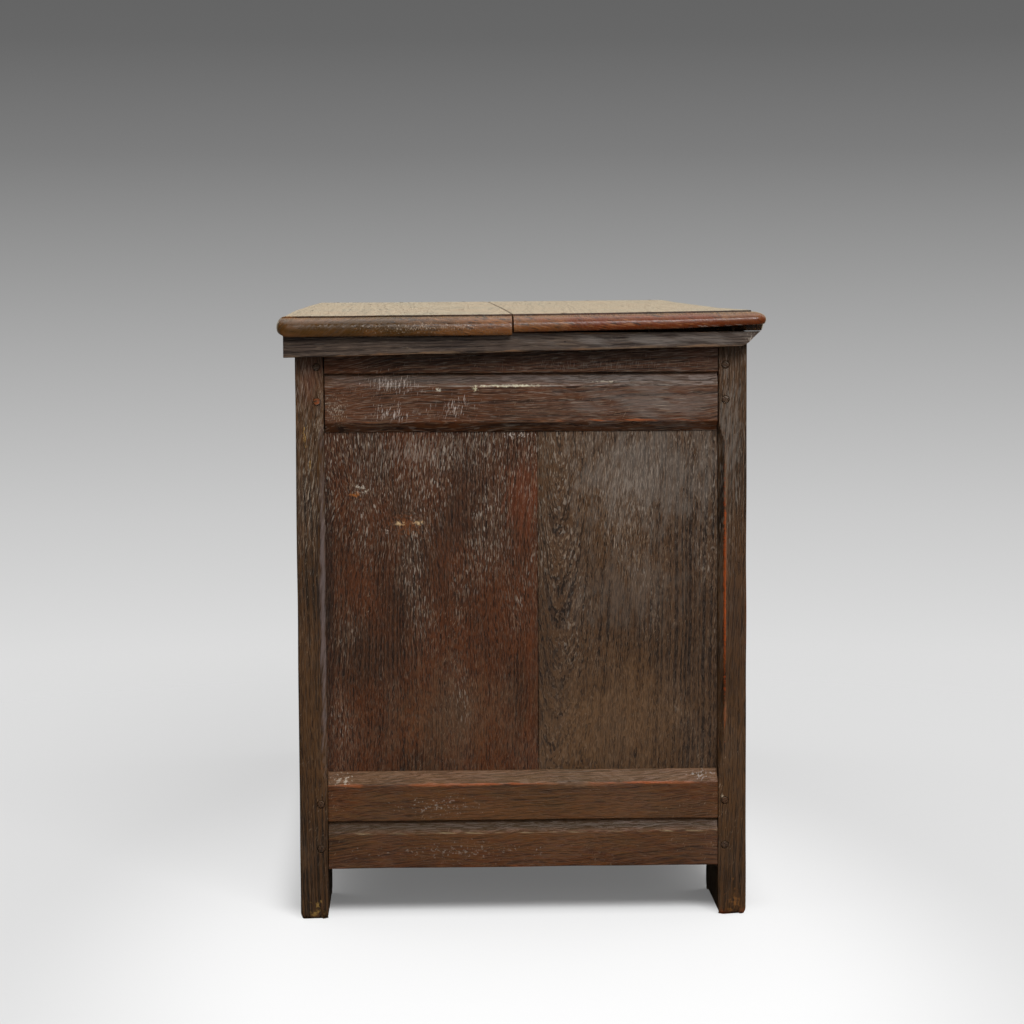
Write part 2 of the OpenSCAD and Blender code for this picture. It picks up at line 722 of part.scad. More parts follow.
// The leaf on the back rail, with the two outer knuckles
module back_strap() {
    knuckle_w = (strap_w - middle_knuckle_w) / 2 - knuckle_gap;
    difference() {
        union() {
            translate([0, leaf_y + strap_t, 0]) rotate([90, 0, 0]) linear_extrude(strap_t)
                polygon([[-strap_w / 2, back_leaf_z1], [-strap_w / 2, back_leaf_z0 + strap_point],
                         [0, back_leaf_z0], [strap_w / 2, back_leaf_z0 + strap_point],
                         [strap_w / 2, back_leaf_z1]]);
            for (side = [-1, 1]) translate([side * (strap_w - knuckle_w) / 2, 0, 0]) {
                block([-knuckle_w / 2, leaf_y, back_leaf_z1 - past],
                      [knuckle_w / 2, leaf_y + strap_t, hinge_z]);
                translate([0, hinge_y, hinge_z]) rotate([0, 90, 0])
                    cylinder(h = knuckle_w, r = knuckle_r, center = true);
            }
        }
        hinge_bore();
        for (z = back_nail_zs)
            translate([0, leaf_y - past, z]) rotate([-90, 0, 0])
                cylinder(h = strap_t + 2 * past, r = nail_r + nail_slack);
    }
}

module hinge_pin() {
    color("#2b2724") translate([0, hinge_y, hinge_z]) rotate([0, 90, 0])
        cylinder(h = strap_w + knuckle_gap, r = hinge_pin_r, center = true);
}

// Holes in the back rail for the nails of both hinges
module back_nail_holes() {
    for (side = [-1, 1], z = back_nail_zs)
        translate([side * hinge_x, leaf_y + past, z]) rotate([90, 0, 0])
            cylinder(h = back_nail_l - strap_t + past, r = nail_r + nail_slack);
}

// A nail along +Z with its head below z = 0
module nail(length, shank_r, head) {
    cylinder(h = length, r = shank_r);
    if (head) translate([0, 0, -nail_head_h])
        cylinder(h = nail_head_h, r1 = nail_head_r * nail_head_taper, r2 = nail_head_r);
}

module keyhole(deep) {
    translate([0, -rail_y - plate_t - past, keyhole_z]) {
        rotate([-90, 0, 0]) cylinder(h = deep, r = keyhole_r);
        block([-keyslot_w / 2, 0, -keyslot_l], [keyslot_w / 2, deep, 0]);
    }
}

// Nail holes of the lock: through the plate from the front, and through the ears from the back
module lock_nail_holes() {
    for (side = [-1, 1], z = lock_nail_zs)
        translate([side * (plate_w / 2 - plate_nail_in), -rail_y - plate_t - past, z]) rotate([-90, 0, 0])
            cylinder(h = plate_t + lock_nail_deep + past, r = lock_nail_r + nail_slack);
    for (side = [-1, 1], z = ear_nail_zs)
        translate([side * (case_w + ear_w) / 2, -rail_in_y + case_wall + past, z]) rotate([90, 0, 0])
            cylinder(h = case_wall + lock_nail_deep + past, r = lock_nail_r + nail_slack);
}

module staple_nail_holes() {
    for (side = [-1, 1])
        translate([side * staple_nail_x, staple_y, lid_z - staple_plate_t - past])
            cylinder(h = staple_plate_t + past + lock_nail_deep, r = lock_nail_r + nail_slack);
}

// Subparts
module front_left_stile() {
    color("#4f3f2a") stile(true, true);
}

module front_right_stile() {
    color("#4f3f2a") at_right() stile(true, false);
}

module back_left_stile() {
    color("#4f3f2a") at_back() stile(false, true);
}

module back_right_stile() {
    color("#4f3f2a") at_back() at_right() stile(false, false);
}

module front_top_rail() {
    color("#3d2f25") difference() {
        on_front() long_top_rail(top_section());
        keyhole(rail_t + plate_t + 2 * past);
        lock_nail_holes();
    }
}

module front_bottom_rail() {
    color("#3d2f25") on_front() long_bottom_rail(bottom_section());
}

module back_top_rail() {
    color("#3d2f25") difference() {
        on_back() long_top_rail(plain_section(top_rail_h));
        back_nail_holes();
    }
}

module back_bottom_rail() {
    color("#3d2f25") on_back() long_bottom_rail(plain_section(bottom_rail_h));
}

module left_end_top_rail() {
    color("#3a2d26") on_left_end() top_rail(top_section(), end_span, end_tenon, end_peg_in);
}

module left_end_bottom_rail() {
    color("#3a2d26") on_left_end() bottom_rail(bottom_section(), end_span, end_tenon, end_peg_in);
}

module right_end_top_rail() {
    color("#3a2d26") at_right() on_left_end() top_rail(top_section(), end_span, end_tenon, end_peg_in);
}

module right_end_bottom_rail() {
    color("#3a2d26") at_right() on_left_end() bottom_rail(bottom_section(), end_span, end_tenon, end_peg_in);
}

module front_left_muntin() {
    color("#46382a") translate([-muntin_x, -rail_y, 0]) muntin(true);
}

module front_right_muntin() {
    color("#46382a") translate([muntin_x, -rail_y, 0]) muntin(true);
}

module back_left_muntin() {
    color("#46382a") at_back() translate([-muntin_x, -rail_y, 0]) muntin(false);
}

module back_right_muntin() {
    color("#46382a") at_back() translate([muntin_x, -rail_y, 0]) muntin(false);
}

module front_left_panel() {
    color("#43312a") translate([-muntin_x * 2, 0, 0]) long_panel();
}

module front_middle_panel() {
    color("#43312a") long_panel();
}

module front_right_panel() {
    color("#43312a") translate([muntin_x * 2, 0, 0]) long_panel();
}

module back_left_panel() {
    color("#4a3a2c") at_back() translate([-muntin_x * 2, 0, 0]) long_panel();
}

module back_middle_panel() {
    color("#4a3a2c") at_back() long_panel();
}

module back_right_panel() {
    color("#4a3a2c") at_back() translate([muntin_x * 2, 0, 0]) long_panel();
}

module left_end_panel_back_board() {
    color("#4a2f26") end_panel_back_board();
}

module left_end_panel_front_board() {
    color("#3f3731") end_panel_front_board();
}

module right_end_panel_back_board() {
    color("#4a2f26") at_right() end_panel_back_board();
}

module right_end_panel_front_board() {
    color("#3f3731") at_right() end_panel_front_board();
}

module front_pegs() {
    color("#7a5a30") long_side_pegs();
}

module back_pegs() {
    color("#7a5a30") at_back() long_side_pegs();
}

module left_end_pegs() {
    color("#7a5a30") end_pegs();
}

module right_end_pegs() {
    color("#7a5a30") at_right() end_pegs();
}

module bottom_board_1() {
    bottom_board(-bottom_x, bottom_joints[0], stile_in_y - slack, 0, bottom_lap);
}

module bottom_board_2() {
    middle_bottom_board(0);
}

module bottom_board_3() {
    middle_bottom_board(1);
}

module bottom_board_4() {
    middle_bottom_board(2);
}

module bottom_board_5() {
    middle_bottom_board(3);
}

module bottom_board_6() {
    bottom_board(bottom_joints[4], bottom_x, stile_in_y - slack, bottom_lap, 0);
}

module lid_back_board() {
    color("#7b5a38") lid_board(lid_joint_y + lid_joint_gap / 2, lid_half_d);
}

module lid_front_board() {
    color("#8a5a32") lid_board(-lid_half_d, lid_joint_y - lid_joint_gap / 2);
}

module left_lid_cleat() {
    color("#3b332d") lid_cleat();
}

module right_lid_cleat() {
    color("#3b332d") at_right() lid_cleat();
}

module cleat_nails() {
    color("#2b2724") for (side = [-1, 1], y = cleat_nail_ys)
        translate([side * cleat_mid_x, y, lid_z + lid_t]) {
            translate([0, 0, -cleat_nail_l + past]) cylinder(h = cleat_nail_l - past, r = nail_r);
            translate([0, 0, -nail_head_h]) cylinder(h = nail_head_h, r = flush_head_r);
        }
}

module left_hinge_lid_strap() {
    color("#33302c") translate([-hinge_x, 0, 0]) lid_strap();
}

module right_hinge_lid_strap() {
    color("#33302c") translate([hinge_x, 0, 0]) lid_strap();
}

module left_hinge_back_strap() {
    color("#33302c") translate([-hinge_x, 0, 0]) back_strap();
}

module right_hinge_back_strap() {
    color("#33302c") translate([hinge_x, 0, 0]) back_strap();
}

module left_hinge_pin() {
    translate([-hinge_x, 0, 0]) hinge_pin();
}

module right_hinge_pin() {
    translate([hinge_x, 0, 0]) hinge_pin();
}

// Nails through the lid straps: they show on top of the lid, and all but the first have heads below
module lid_strap_nails() {
    color("#2b2724") for (side = [-1, 1], s = lid_nail_steps)
        translate([side * hinge_x, hinge_y - s, lid_z]) nail(lid_t, nail_r, s > lid_nail_steps[0]);
}

module back_strap_nails() {
    color("#2b2724") for (side = [-1, 1], z = back_nail_zs)
        translate([side * hinge_x, leaf_y + strap_t, z]) rotate([90, 0, 0]) nail(back_nail_l, nail_r, true);
}

module lock_plate() {
    w = plate_w / 2;
    cut = plate_corner;
    color("#33302c") difference() {
        translate([0, -rail_y, plate_z]) rotate([90, 0, 0]) linear_extrude(plate_t)
            polygon([[-w + cut, 0], [w - cut, 0], [w, cut], [w, plate_h - cut], [w - cut, plate_h],
                     [cut - w, plate_h], [-w, plate_h - cut], [-w, cut]]);
        keyhole(plate_t + 2 * past);
        lock_nail_holes();
    }
}

// The case is open towards the rail; two bridges inside guide the bolt
module lock_case() {
    y0 = -rail_in_y;
    w = case_w / 2;
    color("#33302c") difference() {
        union() {
            difference() {
                block([-w, y0, case_z0], [w, case_y, case_z1]);
                block([-w + case_wall, y0 - past, case_z0 + case_wall],
                      [w - case_wall, case_y - case_wall, case_z1 - case_wall]);
            }
            block([-w - ear_w, y0, case_z0], [-w + case_wall, y0 + case_wall, case_z1]);
            block([w - case_wall, y0, case_z0], [w + ear_w, y0 + case_wall, case_z1]);
            for (x = guide_xs)
                block([x, staple_y - bolt_size / 2 - guide_wall, bolt_z - guide_wall],
                      [x + guide_t, case_y - case_wall / 2, case_z1 - case_wall / 2]);
        }
        block([-w + case_wall + past, staple_y - bolt_size / 2 - guide_gap, bolt_z - guide_gap],
              [0, staple_y + bolt_size / 2 + guide_gap, bolt_z + bolt_size + guide_gap]);
        block([-staple_t / 2 - staple_gap, staple_y - staple_w / 2 - staple_gap, case_z1 - 2 * case_wall],
              [staple_t / 2 + staple_gap, staple_y + staple_w / 2 + staple_gap, case_z1 + past]);
        lock_nail_holes();
    }
}

module lock_bolt() {
    y0 = staple_y - bolt_size / 2;
    color("#6a655e") difference() {
        block([bolt_x0, y0, bolt_z], [bolt_x0 + bolt_l, y0 + bolt_size, bolt_z + bolt_size]);
        translate([bolt_x0 + bolt_l / 2, 0, 0])
            block([-bolt_notch_w / 2, y0 - past, bolt_z - past],
                  [bolt_notch_w / 2, y0 + bolt_size + past, bolt_z + bolt_notch_h]);
    }
}

// The staple hangs from the lid; the bolt shoots through its eye
module lock_staple() {
    eye_w = bolt_size + 2 * eye_gap;
    color("#33302c") difference() {
        union() {
            block([-staple_t / 2, staple_y - staple_w / 2, staple_z0],
                  [staple_t / 2, staple_y + staple_w / 2, lid_z]);
            block([-staple_plate_l / 2, staple_y - staple_plate_w / 2, lid_z - staple_plate_t],
                  [staple_plate_l / 2, staple_y + staple_plate_w / 2, lid_z]);
        }
        block([-staple_t, staple_y - eye_w / 2, bolt_z - eye_gap],
              [staple_t, staple_y + eye_w / 2, bolt_z + bolt_size + eye_gap]);
        staple_nail_holes();
    }
}

module lock_nails() {
    color("#2b2724") {
        for (side = [-1, 1], z = lock_nail_zs)
            translate([side * (plate_w / 2 - plate_nail_in), -rail_y - plate_t, z]) rotate([-90, 0, 0])
                nail(plate_t + lock_nail_deep, lock_nail_r, true);
        for (side = [-1, 1], z = ear_nail_zs)
            translate([side * (case_w + ear_w) / 2, -rail_in_y + case_wall, z]) rotate([90, 0, 0])
                nail(case_wall + lock_nail_deep, lock_nail_r, true);
    }
}

module staple_nails() {
    color("#2b2724") for (side = [-1, 1])
        translate([side * staple_nail_x, staple_y, lid_z - staple_plate_t])
            cylinder(h = staple_plate_t + lock_nail_deep, r = lock_nail_r);
}

module till_floor() {
    y = stile_in_y + till_housing - slack;
    color("#6b5138") block([till_floor_x0, -y, till_floor_z],
                           [till_floor_x1, y, till_floor_z + till_floor_t]);
}

module till_side() {
    y = stile_in_y + till_housing - slack;
    color("#6b5138") difference() {
        block([till_side_x - till_side_t, -y, till_side_z], [till_side_x, y, till_top]);
        block([till_side_x - till_side_t - past, -y - past, till_floor_z],
              [till_floor_x1 + slack, y + past, till_floor_z + till_floor_t]);
    }
}

// Section of the till's lid about its pivot: round at the pivot and eased at the free edge
function till_lid_section(r) = concat(
    [for (i = [0 : edge_steps]) let (a = 90 + 180 * i / edge_steps) [r * cos(a), r * sin(a)]],
    [[till_lid_l - till_ease, -r], [till_lid_l, -r + till_ease],
     [till_lid_l, r - till_ease], [till_lid_l - till_ease, r]]);

// The lid of the till turns on two pintles
module till_lid() {
    half_w = stile_in_y - till_end_gap;
    color("#5d4530") translate([till_pivot_x, 0, till_pivot_z]) rotate([90, 0, 0]) {
        linear_extrude(2 * half_w, center = true) polygon(till_lid_section(till_lid_t / 2));
        cylinder(h = 2 * (half_w + pintle_l), r = pintle_r, center = true);
    }
}

front_left_stile();
front_right_stile();
back_left_stile();
back_right_stile();
front_top_rail();
front_bottom_rail();
back_top_rail();
back_bottom_rail();
left_end_top_rail();
left_end_bottom_rail();
right_end_top_rail();
right_end_bottom_rail();
front_left_muntin();
front_right_muntin();
back_left_muntin();
back_right_muntin();
front_left_panel();
front_middle_panel();
front_right_panel();
back_left_panel();
back_middle_panel();
back_right_panel();
left_end_panel_back_board();
left_end_panel_front_board();
right_end_panel_back_board();
right_end_panel_front_board();
front_pegs();
back_pegs();
left_end_pegs();
right_end_pegs();
bottom_board_1();
bottom_board_2();
bottom_board_3();
bottom_board_4();
bottom_board_5();
bottom_board_6();
lid_back_board();
lid_front_board();
left_lid_cleat();
right_lid_cleat();
cleat_nails();
left_hinge_lid_strap();
right_hinge_lid_strap();
left_hinge_back_strap();
right_hinge_back_strap();
left_hinge_pin();
right_hinge_pin();
lid_strap_nails();
back_strap_nails();
lock_plate();
lock_case();
lock_bolt();
lock_staple();
lock_nails();
staple_nails();
till_floor();
till_side();
till_lid();
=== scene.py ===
"""Looks of the joined oak coffer: worn, waxed timbers round the frame that the solids give."""
import contextlib
import functools
import json
import math

import bmesh
import bpy
import numpy as np
from mathutils import Matrix, Vector

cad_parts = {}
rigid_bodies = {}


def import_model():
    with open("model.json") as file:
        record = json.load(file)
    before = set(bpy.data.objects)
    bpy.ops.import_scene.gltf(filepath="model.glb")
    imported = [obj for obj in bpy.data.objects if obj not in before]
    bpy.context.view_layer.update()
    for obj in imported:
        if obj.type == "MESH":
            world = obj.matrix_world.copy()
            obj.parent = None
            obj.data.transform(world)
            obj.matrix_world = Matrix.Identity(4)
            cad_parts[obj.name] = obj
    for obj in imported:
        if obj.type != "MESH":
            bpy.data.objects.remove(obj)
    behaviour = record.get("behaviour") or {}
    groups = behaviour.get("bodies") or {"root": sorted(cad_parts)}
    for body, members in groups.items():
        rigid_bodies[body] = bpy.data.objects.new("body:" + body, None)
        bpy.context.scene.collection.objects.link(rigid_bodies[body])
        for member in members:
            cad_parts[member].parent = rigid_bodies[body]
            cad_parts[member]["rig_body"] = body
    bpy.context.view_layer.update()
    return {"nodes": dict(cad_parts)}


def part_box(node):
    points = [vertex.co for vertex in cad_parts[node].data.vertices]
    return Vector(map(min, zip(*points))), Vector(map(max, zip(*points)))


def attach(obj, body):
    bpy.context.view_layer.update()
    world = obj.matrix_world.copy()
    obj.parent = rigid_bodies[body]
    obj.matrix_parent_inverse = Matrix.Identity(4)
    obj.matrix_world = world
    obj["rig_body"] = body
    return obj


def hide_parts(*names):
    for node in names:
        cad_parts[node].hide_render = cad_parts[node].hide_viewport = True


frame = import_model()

MM = 0.001
SIDES, ENDS = ((-1, "front"), (1, "back")), ((-1, "left_end"), (1, "right_end"))

# Sizes, all in metres
# The frame's outer faces and the inner faces of the stiles
HALF_L, HALF_D = 0.658, 0.2925
STILE_IN_X, STILE_IN_Y = 0.498, 0.2555
STILE_H = 0.766
# Faces and thickness of the rails, and heights of the rails and of the panel opening
RAIL_X, RAIL_Y, RAIL_T = 0.657, 0.2915, 0.030
FOOT_H, OPEN_Z0, OPEN_Z1 = 0.066, 0.193, 0.637
TOP_RAIL_H, BOTTOM_RAIL_H = 0.129, 0.127
# Channel and bevels of the rails
CHANNEL_DEEP, CHANNEL_H = 0.007, 0.017
TOP_CHANNEL_UP, LOW_CHANNEL_UP = 0.077, 0.063
BEVEL_D, TOP_BEVEL_H, LOW_BEVEL_H = 0.012, 0.013, 0.0165
# Stopped chamfers beside the panels
CHAMFER, CHAMFER_Z0, CHAMFER_Z1, CHAMFER_RUN = 0.012, 0.1805, 0.646, 0.030
# What is left of an arris that has no chamfer
ARRIS = 0.0008
# Muntins
MUNTIN_X, MUNTIN_W = 0.181, 0.090
# Tenons
GROOVE_SET, GROOVE_W = 0.013, 0.0095
END_TENON, LONG_TENON = 0.028, 0.045
LOW_TENON, TOP_TENON = (0.081, 0.184), (0.646, 0.751)
# Panels
PANEL_T, PANEL_X, PANEL_Y = 0.009, 0.64375, 0.27825
# Lid
LID_Z, LID_T, LID_HALF_L, LID_HALF_D = 0.7663, 0.0275, 0.700, 0.314
LID_MIDDLE_TOP = 0.7913
THUMB_W, THUMB_STEP, BULL_W, NOSE_H = 0.019, 0.0025, 0.0115, 0.010
UNDER_W, BACK_UNDER_W, LID_CORNER = 0.004, 0.017, 0.014
LID_JOINTS = (0.011, 0.013)
# Lid cleats
CLEAT_X, CLEAT_T, CLEAT_Y = 0.6595, 0.0265, 0.306
CLEAT_BACK_Z, CLEAT_FRONT_Z, CLEAT_CUT, CLEAT_ROUND = 0.7353, 0.7473, 0.017, 0.006
CLEAT_NAIL_X = 0.67275
CLEAT_NAIL_YS = np.linspace(-0.2725, 0.2725, 6)
# Hinges
HINGE_X, HINGE_Y, STRAP_W, STRAP_T, STRAP_L = 0.330, 0.2969, 0.032, 0.0028, 0.400
LEAF_Y, KNUCKLE_GAP, STRAP_POINT, STRAP_TAPER = 0.2915, 0.0004, 0.020, 0.7
LID_NAILS_S = (0.016, 0.086, 0.156, 0.226, 0.330, 0.378)
BACK_NAIL_ZS = (0.7483, 0.70515, 0.672)
# Pegs
PEG_R, PEG_ZS = 0.0049, (0.093, 0.152, 0.678, 0.723)
END_PEG_Y, LONG_PEG_X, MUNTIN_PEG_ZS = 0.2645, 0.512, (0.167, 0.663)
# Lock
KEYHOLE_Z, KEYHOLE_R, KEYSLOT_W, KEYSLOT_L = 0.718, 0.0045, 0.005, 0.015
PLATE_T, PLATE_NAIL_X, PLATE_NAIL_ZS = 0.0016, 0.032, (0.670, 0.752)
CASE_NAIL_X, CASE_NAIL_Y, CASE_NAIL_ZS = 0.0615, 0.2595, (0.688, 0.746)
# Nails: radius of shanks and heads, and lengths from below the head
NAIL_R, LOCK_NAIL_R, CLENCH_R, CLEAT_HEAD_R, LOCK_HEAD_R = 0.0019, 0.0014, 0.0023, 0.0035, 0.0038
CLEAT_NAIL_L, BACK_NAIL_L, PLATE_NAIL_L, CASE_NAIL_L = 0.0385, 0.0248, 0.0136, 0.0140
# Where the unwaxed wood ends: how far from the middle in x and y inside the box, how low there, and how
# far from the middle under the lid
BOX_ROOM, BOX_ROOM_Z, LID_ROOM = (0.6368, 0.2712, 0), 0.1, (0.655, 0.288, 0)


# Surfaces
def waves(points, size, seed):
    """Smooth hand-made unevenness, about -1 to 1: the mean of sine waves in random directions, whose
    lengths lie between half and twice the size."""
    count = 9
    rng = np.random.default_rng(seed)
    way = rng.normal(size=(count, 3))
    way /= np.linalg.norm(way, axis=1)[:, None]
    way *= 2 * math.pi / (size * rng.uniform(0.5, 2.0, count))[:, None]
    return np.sin(points @ way.T + rng.uniform(0, 2 * math.pi, count)).sum(-1) / math.sqrt(count / 2) / 2


def eased_section(corners, ease, middle, rub):
    """Sections with eased corners, one for each station. corners is (stations, corners, 2) and ease is
    (stations, corners). Each corner is the curve (1-s)^2 a + 2s(1-s) c + s^2 b, from a point short of
    the corner c to one past it; the straight sides have points close to their ends and some between.
    Also gives how worn each point is: rub on an outer arris, falling to 0 over 7 mm, and below 0 in an inner
    corner, where the oak paints shade."""
    back = np.roll(corners, 1, axis=1) - corners
    forth = np.roll(corners, -1, axis=1) - corners
    back_l = np.linalg.norm(back, axis=-1, keepdims=True)
    forth_l = np.linalg.norm(forth, axis=-1, keepdims=True)
    a = corners + back / back_l * ease[..., None]
    b = corners + forth / forth_l * ease[..., None]
    s = np.linspace(0, 1, 5)[None, None, :, None]
    curve = (1 - s) ** 2 * a[:, :, None] + 2 * s * (1 - s) * corners[:, :, None] + s ** 2 * b[:, :, None]
    side_l = np.linalg.norm(np.roll(a, -1, axis=1) - b, axis=-1, keepdims=True)
    near = np.minimum(np.array([2.5, 7.0]) * MM / side_l, [0.15, 0.3])
    between = near[..., 1:] + (1 - 2 * near[..., 1:]) * (np.arange(middle) + 0.5) / middle
    t = np.concatenate([near, between, 1 - near[..., ::-1]], axis=-1)[..., None]
    side = b[:, :, None] * (1 - t) + np.roll(a, -1, axis=1)[:, :, None] * t
    turn = back[..., 0] * forth[..., 1] - back[..., 1] * forth[..., 0]
    outer = np.where(turn < 0, rub, -1.0)
    here = outer[:, :, None] * np.interp(np.abs(2 * s[0, 0, :, 0] - 1), [0, 1], [1, 0.8])
    following = np.roll(outer, -1, axis=1)
    none = np.zeros(outer.shape)
    along = np.stack([0.35 * outer, none] + [none] * middle + [none, 0.35 * following], axis=-1)
    ring = np.concatenate([curve, side], axis=2)
    worn = np.concatenate([here, along], axis=2)
    count = corners.shape[0]
    return ring.reshape(count, -1, 2), worn.reshape(count, -1)


def sections(count, *corners):
    """A section for each station. Each number is the same for them all, or an array with one for each."""
    return np.stack([np.stack([np.broadcast_to(n, count) for n in corner], axis=-1) for corner in corners],
                    axis=1)


def stations(length, step, ease_start, ease_end):
    """Places along a timber, from 0 to length: close together in the eased ends and even between."""
    quarter = 1 - np.cos(np.linspace(0, math.pi / 2, 5))
    start = ease_start * quarter
    end = length - ease_end * quarter[::-1]
    inner = np.linspace(ease_start, length - ease_end, max(3, int(length / step)))[1:-1]
    return np.concatenate([start, inner, end])


def timber(corners, ease, along, ease_ends, place, middle=3, end_wear=(0.0, 0.0), rub=1.0):
    """A board or post: sections with eased corners carried along its length and drawn in at each end
    on a quarter circle. place(a, b, s) turns section and length into x, y and z. rub is how worn the
    arrises are and end_wear the rims of the ends. Gives (points, faces, worn)."""
    ring, worn = eased_section(corners, ease, middle, rub)
    tangent = np.roll(ring, -1, axis=1) - np.roll(ring, 1, axis=1)
    normal = np.stack([tangent[..., 1], -tangent[..., 0]], axis=-1)
    normal /= np.maximum(np.linalg.norm(normal, axis=-1, keepdims=True), 1e-9)
    inset = np.zeros(len(along))
    for distance, r, wear in zip((along - along[0], along[-1] - along), ease_ends, end_wear):
        short = np.clip(r - distance, 0, r)
        inset = np.maximum(inset, r - np.sqrt(r * r - short * short))
        worn = np.maximum(worn, wear * np.clip(1 - distance / (r + 14 * MM), 0, 1)[:, None])
    ring = ring - normal * inset[:, None, None]
    s = np.broadcast_to(along[:, None], ring.shape[:2])
    points = np.stack(place(ring[..., 0], ring[..., 1], s), axis=-1)
    return tube(points, worn)


def tube(points, worn):
    """Quads over a closed tube of rings (stations, around, 3), with a flat face across each end."""
    count, around = points.shape[:2]
    index = np.arange(count * around).reshape(count, around)
    right = np.roll(index, -1, axis=1)
    quads = np.stack([index[:-1], right[:-1], right[1:], index[1:]], axis=-1).reshape(-1, 4)
    faces = quads.tolist() + [index[0, ::-1].tolist(), index[-1].tolist()]
    return points.reshape(-1, 3), faces, worn.reshape(-1)


def turned(profile, around, place, facets=0.0, seed=0):
    """A round piece: profile rows are (radius, height). The radius varies round it as
    1 - facets * |cos(3.5 angle + u)| * v, with random u and v, so that it looks cut by hand."""
    rng = np.random.default_rng(seed)
    angle = np.linspace(0, 2 * math.pi, around, endpoint=False)
    cut = 1 - facets * np.abs(np.cos(3.5 * angle + rng.uniform(0, 3))) * rng.uniform(0.6, 1, around)
    profile = np.array(profile)
    radius = profile[:, :1] * cut[None]
    height = np.broadcast_to(profile[:, 1:], radius.shape)
    tilt = rng.uniform(-1, 1, 2) * 0.06
    height = height + radius * (np.cos(angle) * tilt[0] + np.sin(angle) * tilt[1]) * (height > 0)
    points = np.stack(place(radius * np.cos(angle), radius * np.sin(angle), height), axis=-1)
    return tube(points, np.zeros(radius.shape))


@contextlib.contextmanager
def edited(mesh):
    """A mesh as a bmesh, which is written back at the end."""
    shell = bmesh.new()
    shell.from_mesh(mesh)
    yield shell
    shell.to_mesh(mesh)
    shell.free()


def new_object(name, data):
    """An object with that data, in the scene."""
    new = bpy.data.objects.new(name, data)
    bpy.context.scene.collection.objects.link(new)
    return new


def standing(x, y, z, axis, way=1):
    """The place() of a round piece that starts there. Its height runs along the axis, or back if way is -1."""
    def place(a, b, h):
        if axis == "x":
            return x + way * h, y + a, z + b
        return (x + a, y + way * h, z + b) if axis == "y" else (x + a, y + b, z + way * h)
    return place


def closed_mesh(name, parts):
    """A mesh of closed parts, whose normals are recalculated so that they point outwards."""
    points, faces, worn, first = [], [], [], 0
    for p, f, w in parts:
        points.append(p)
        worn.append(w)
        faces += [[i + first for i in face] for face in f]
        first += len(p)
    mesh = bpy.data.meshes.new(name)
    mesh.from_pydata(np.concatenate(points).tolist(), [], faces)
    mesh.attributes.new("worn", "FLOAT", "POINT").data.foreach_set("value", np.concatenate(worn))
    with edited(mesh) as shell:
        bmesh.ops.remove_doubles(shell, verts=shell.verts, dist=0.001 * MM)
        bmesh.ops.recalc_face_normals(shell, faces=shell.faces)
    return mesh


def dress(piece, body, material, stands_for, sharp):
    """Shades a piece smooth up to its sharp edges, gives it its material and body, and hides the nodes it
    stands for.
    """
    mesh = piece.data
    mesh.polygons.foreach_set("use_smooth", np.ones(len(mesh.polygons), bool))
    mesh.set_sharp_from_angle(angle=math.radians(sharp))
    mesh.materials.clear()
    mesh.materials.append(material)
    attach(piece, body)
    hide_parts(*stands_for)


def build(name, parts, body, material, stands_for, cutters=(), rough=None, sharp=40):
    """One piece from its parts: slightly sunk by hand-made waves and joined. Cutters cut only the first
    part, before the others join it, because a cut goes wrong where parts overlap."""
    piece = new_object(name, closed_mesh(name, parts[:1] if cutters else parts))
    if rough:
        hand_finish(piece.data, *rough)
    for cutter in cutters:
        cut_away(piece, cutter)
    if cutters and parts[1:]:
        others = closed_mesh("others", parts[1:])
        with edited(piece.data) as shell:
            shell.from_mesh(others)
        bpy.data.meshes.remove(others)
    dress(piece, body, material, stands_for, sharp)


def hand_finish(mesh, depth, size, seed):
    """Sinks each point along its normal by depth * (0.5 + 0.5 * waves), as a plane leaves a board."""
    count = len(mesh.vertices)
    points, normals = np.empty(count * 3), np.empty(count * 3)
    mesh.vertices.foreach_get("co", points)
    mesh.vertices.foreach_get("normal", normals)
    points, normals = points.reshape(-1, 3), normals.reshape(-1, 3)
    sink = depth * (0.5 + 0.5 * np.clip(waves(points, size, seed), -1, 1))
    mesh.vertices.foreach_set("co", (points - normals * sink[:, None]).ravel())


def cut_away(piece, cutter):
    """Cuts a closed (points, faces, worn) part out of a piece."""
    mesh = bpy.data.meshes.new("cutter")
    mesh.from_pydata(cutter[0].tolist(), [], cutter[1])
    with edited(mesh) as shell:
        bmesh.ops.recalc_face_normals(shell, faces=shell.faces)
    tool = new_object("cutter", mesh)
    cut = piece.modifiers.new("cut", "BOOLEAN")
    cut.operation, cut.solver, cut.object = "DIFFERENCE", "EXACT", tool
    bpy.context.view_layer.update()
    done = bpy.data.meshes.new_from_object(piece.evaluated_get(bpy.context.evaluated_depsgraph_get()))
    piece.modifiers.clear()
    old, piece.data = piece.data, done
    done.name = piece.name
    bpy.data.meshes.remove(old)
    bpy.data.objects.remove(tool)
    bpy.data.meshes.remove(mesh)


def eased_copy(node, width, material):
    """A copy of a CAD node with its doubles merged and its arrises rounded; it stands for the node."""
    mesh = frame["nodes"][node].data.copy()
    with edited(mesh) as shell:
        bmesh.ops.remove_doubles(shell, verts=shell.verts, dist=0.01 * MM)
        bmesh.ops.dissolve_limit(shell, angle_limit=math.radians(1), verts=shell.verts, edges=shell.edges)
    piece = new_object(node + ".eased", mesh)
    bevel = piece.modifiers.new("eased", "BEVEL")
    bevel.width, bevel.segments, bevel.limit_method = width, 2, "ANGLE"
    bevel.angle_limit, bevel.harden_normals = math.radians(30), False
    dress(piece, frame["nodes"][node]["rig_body"], material, [node], 50)


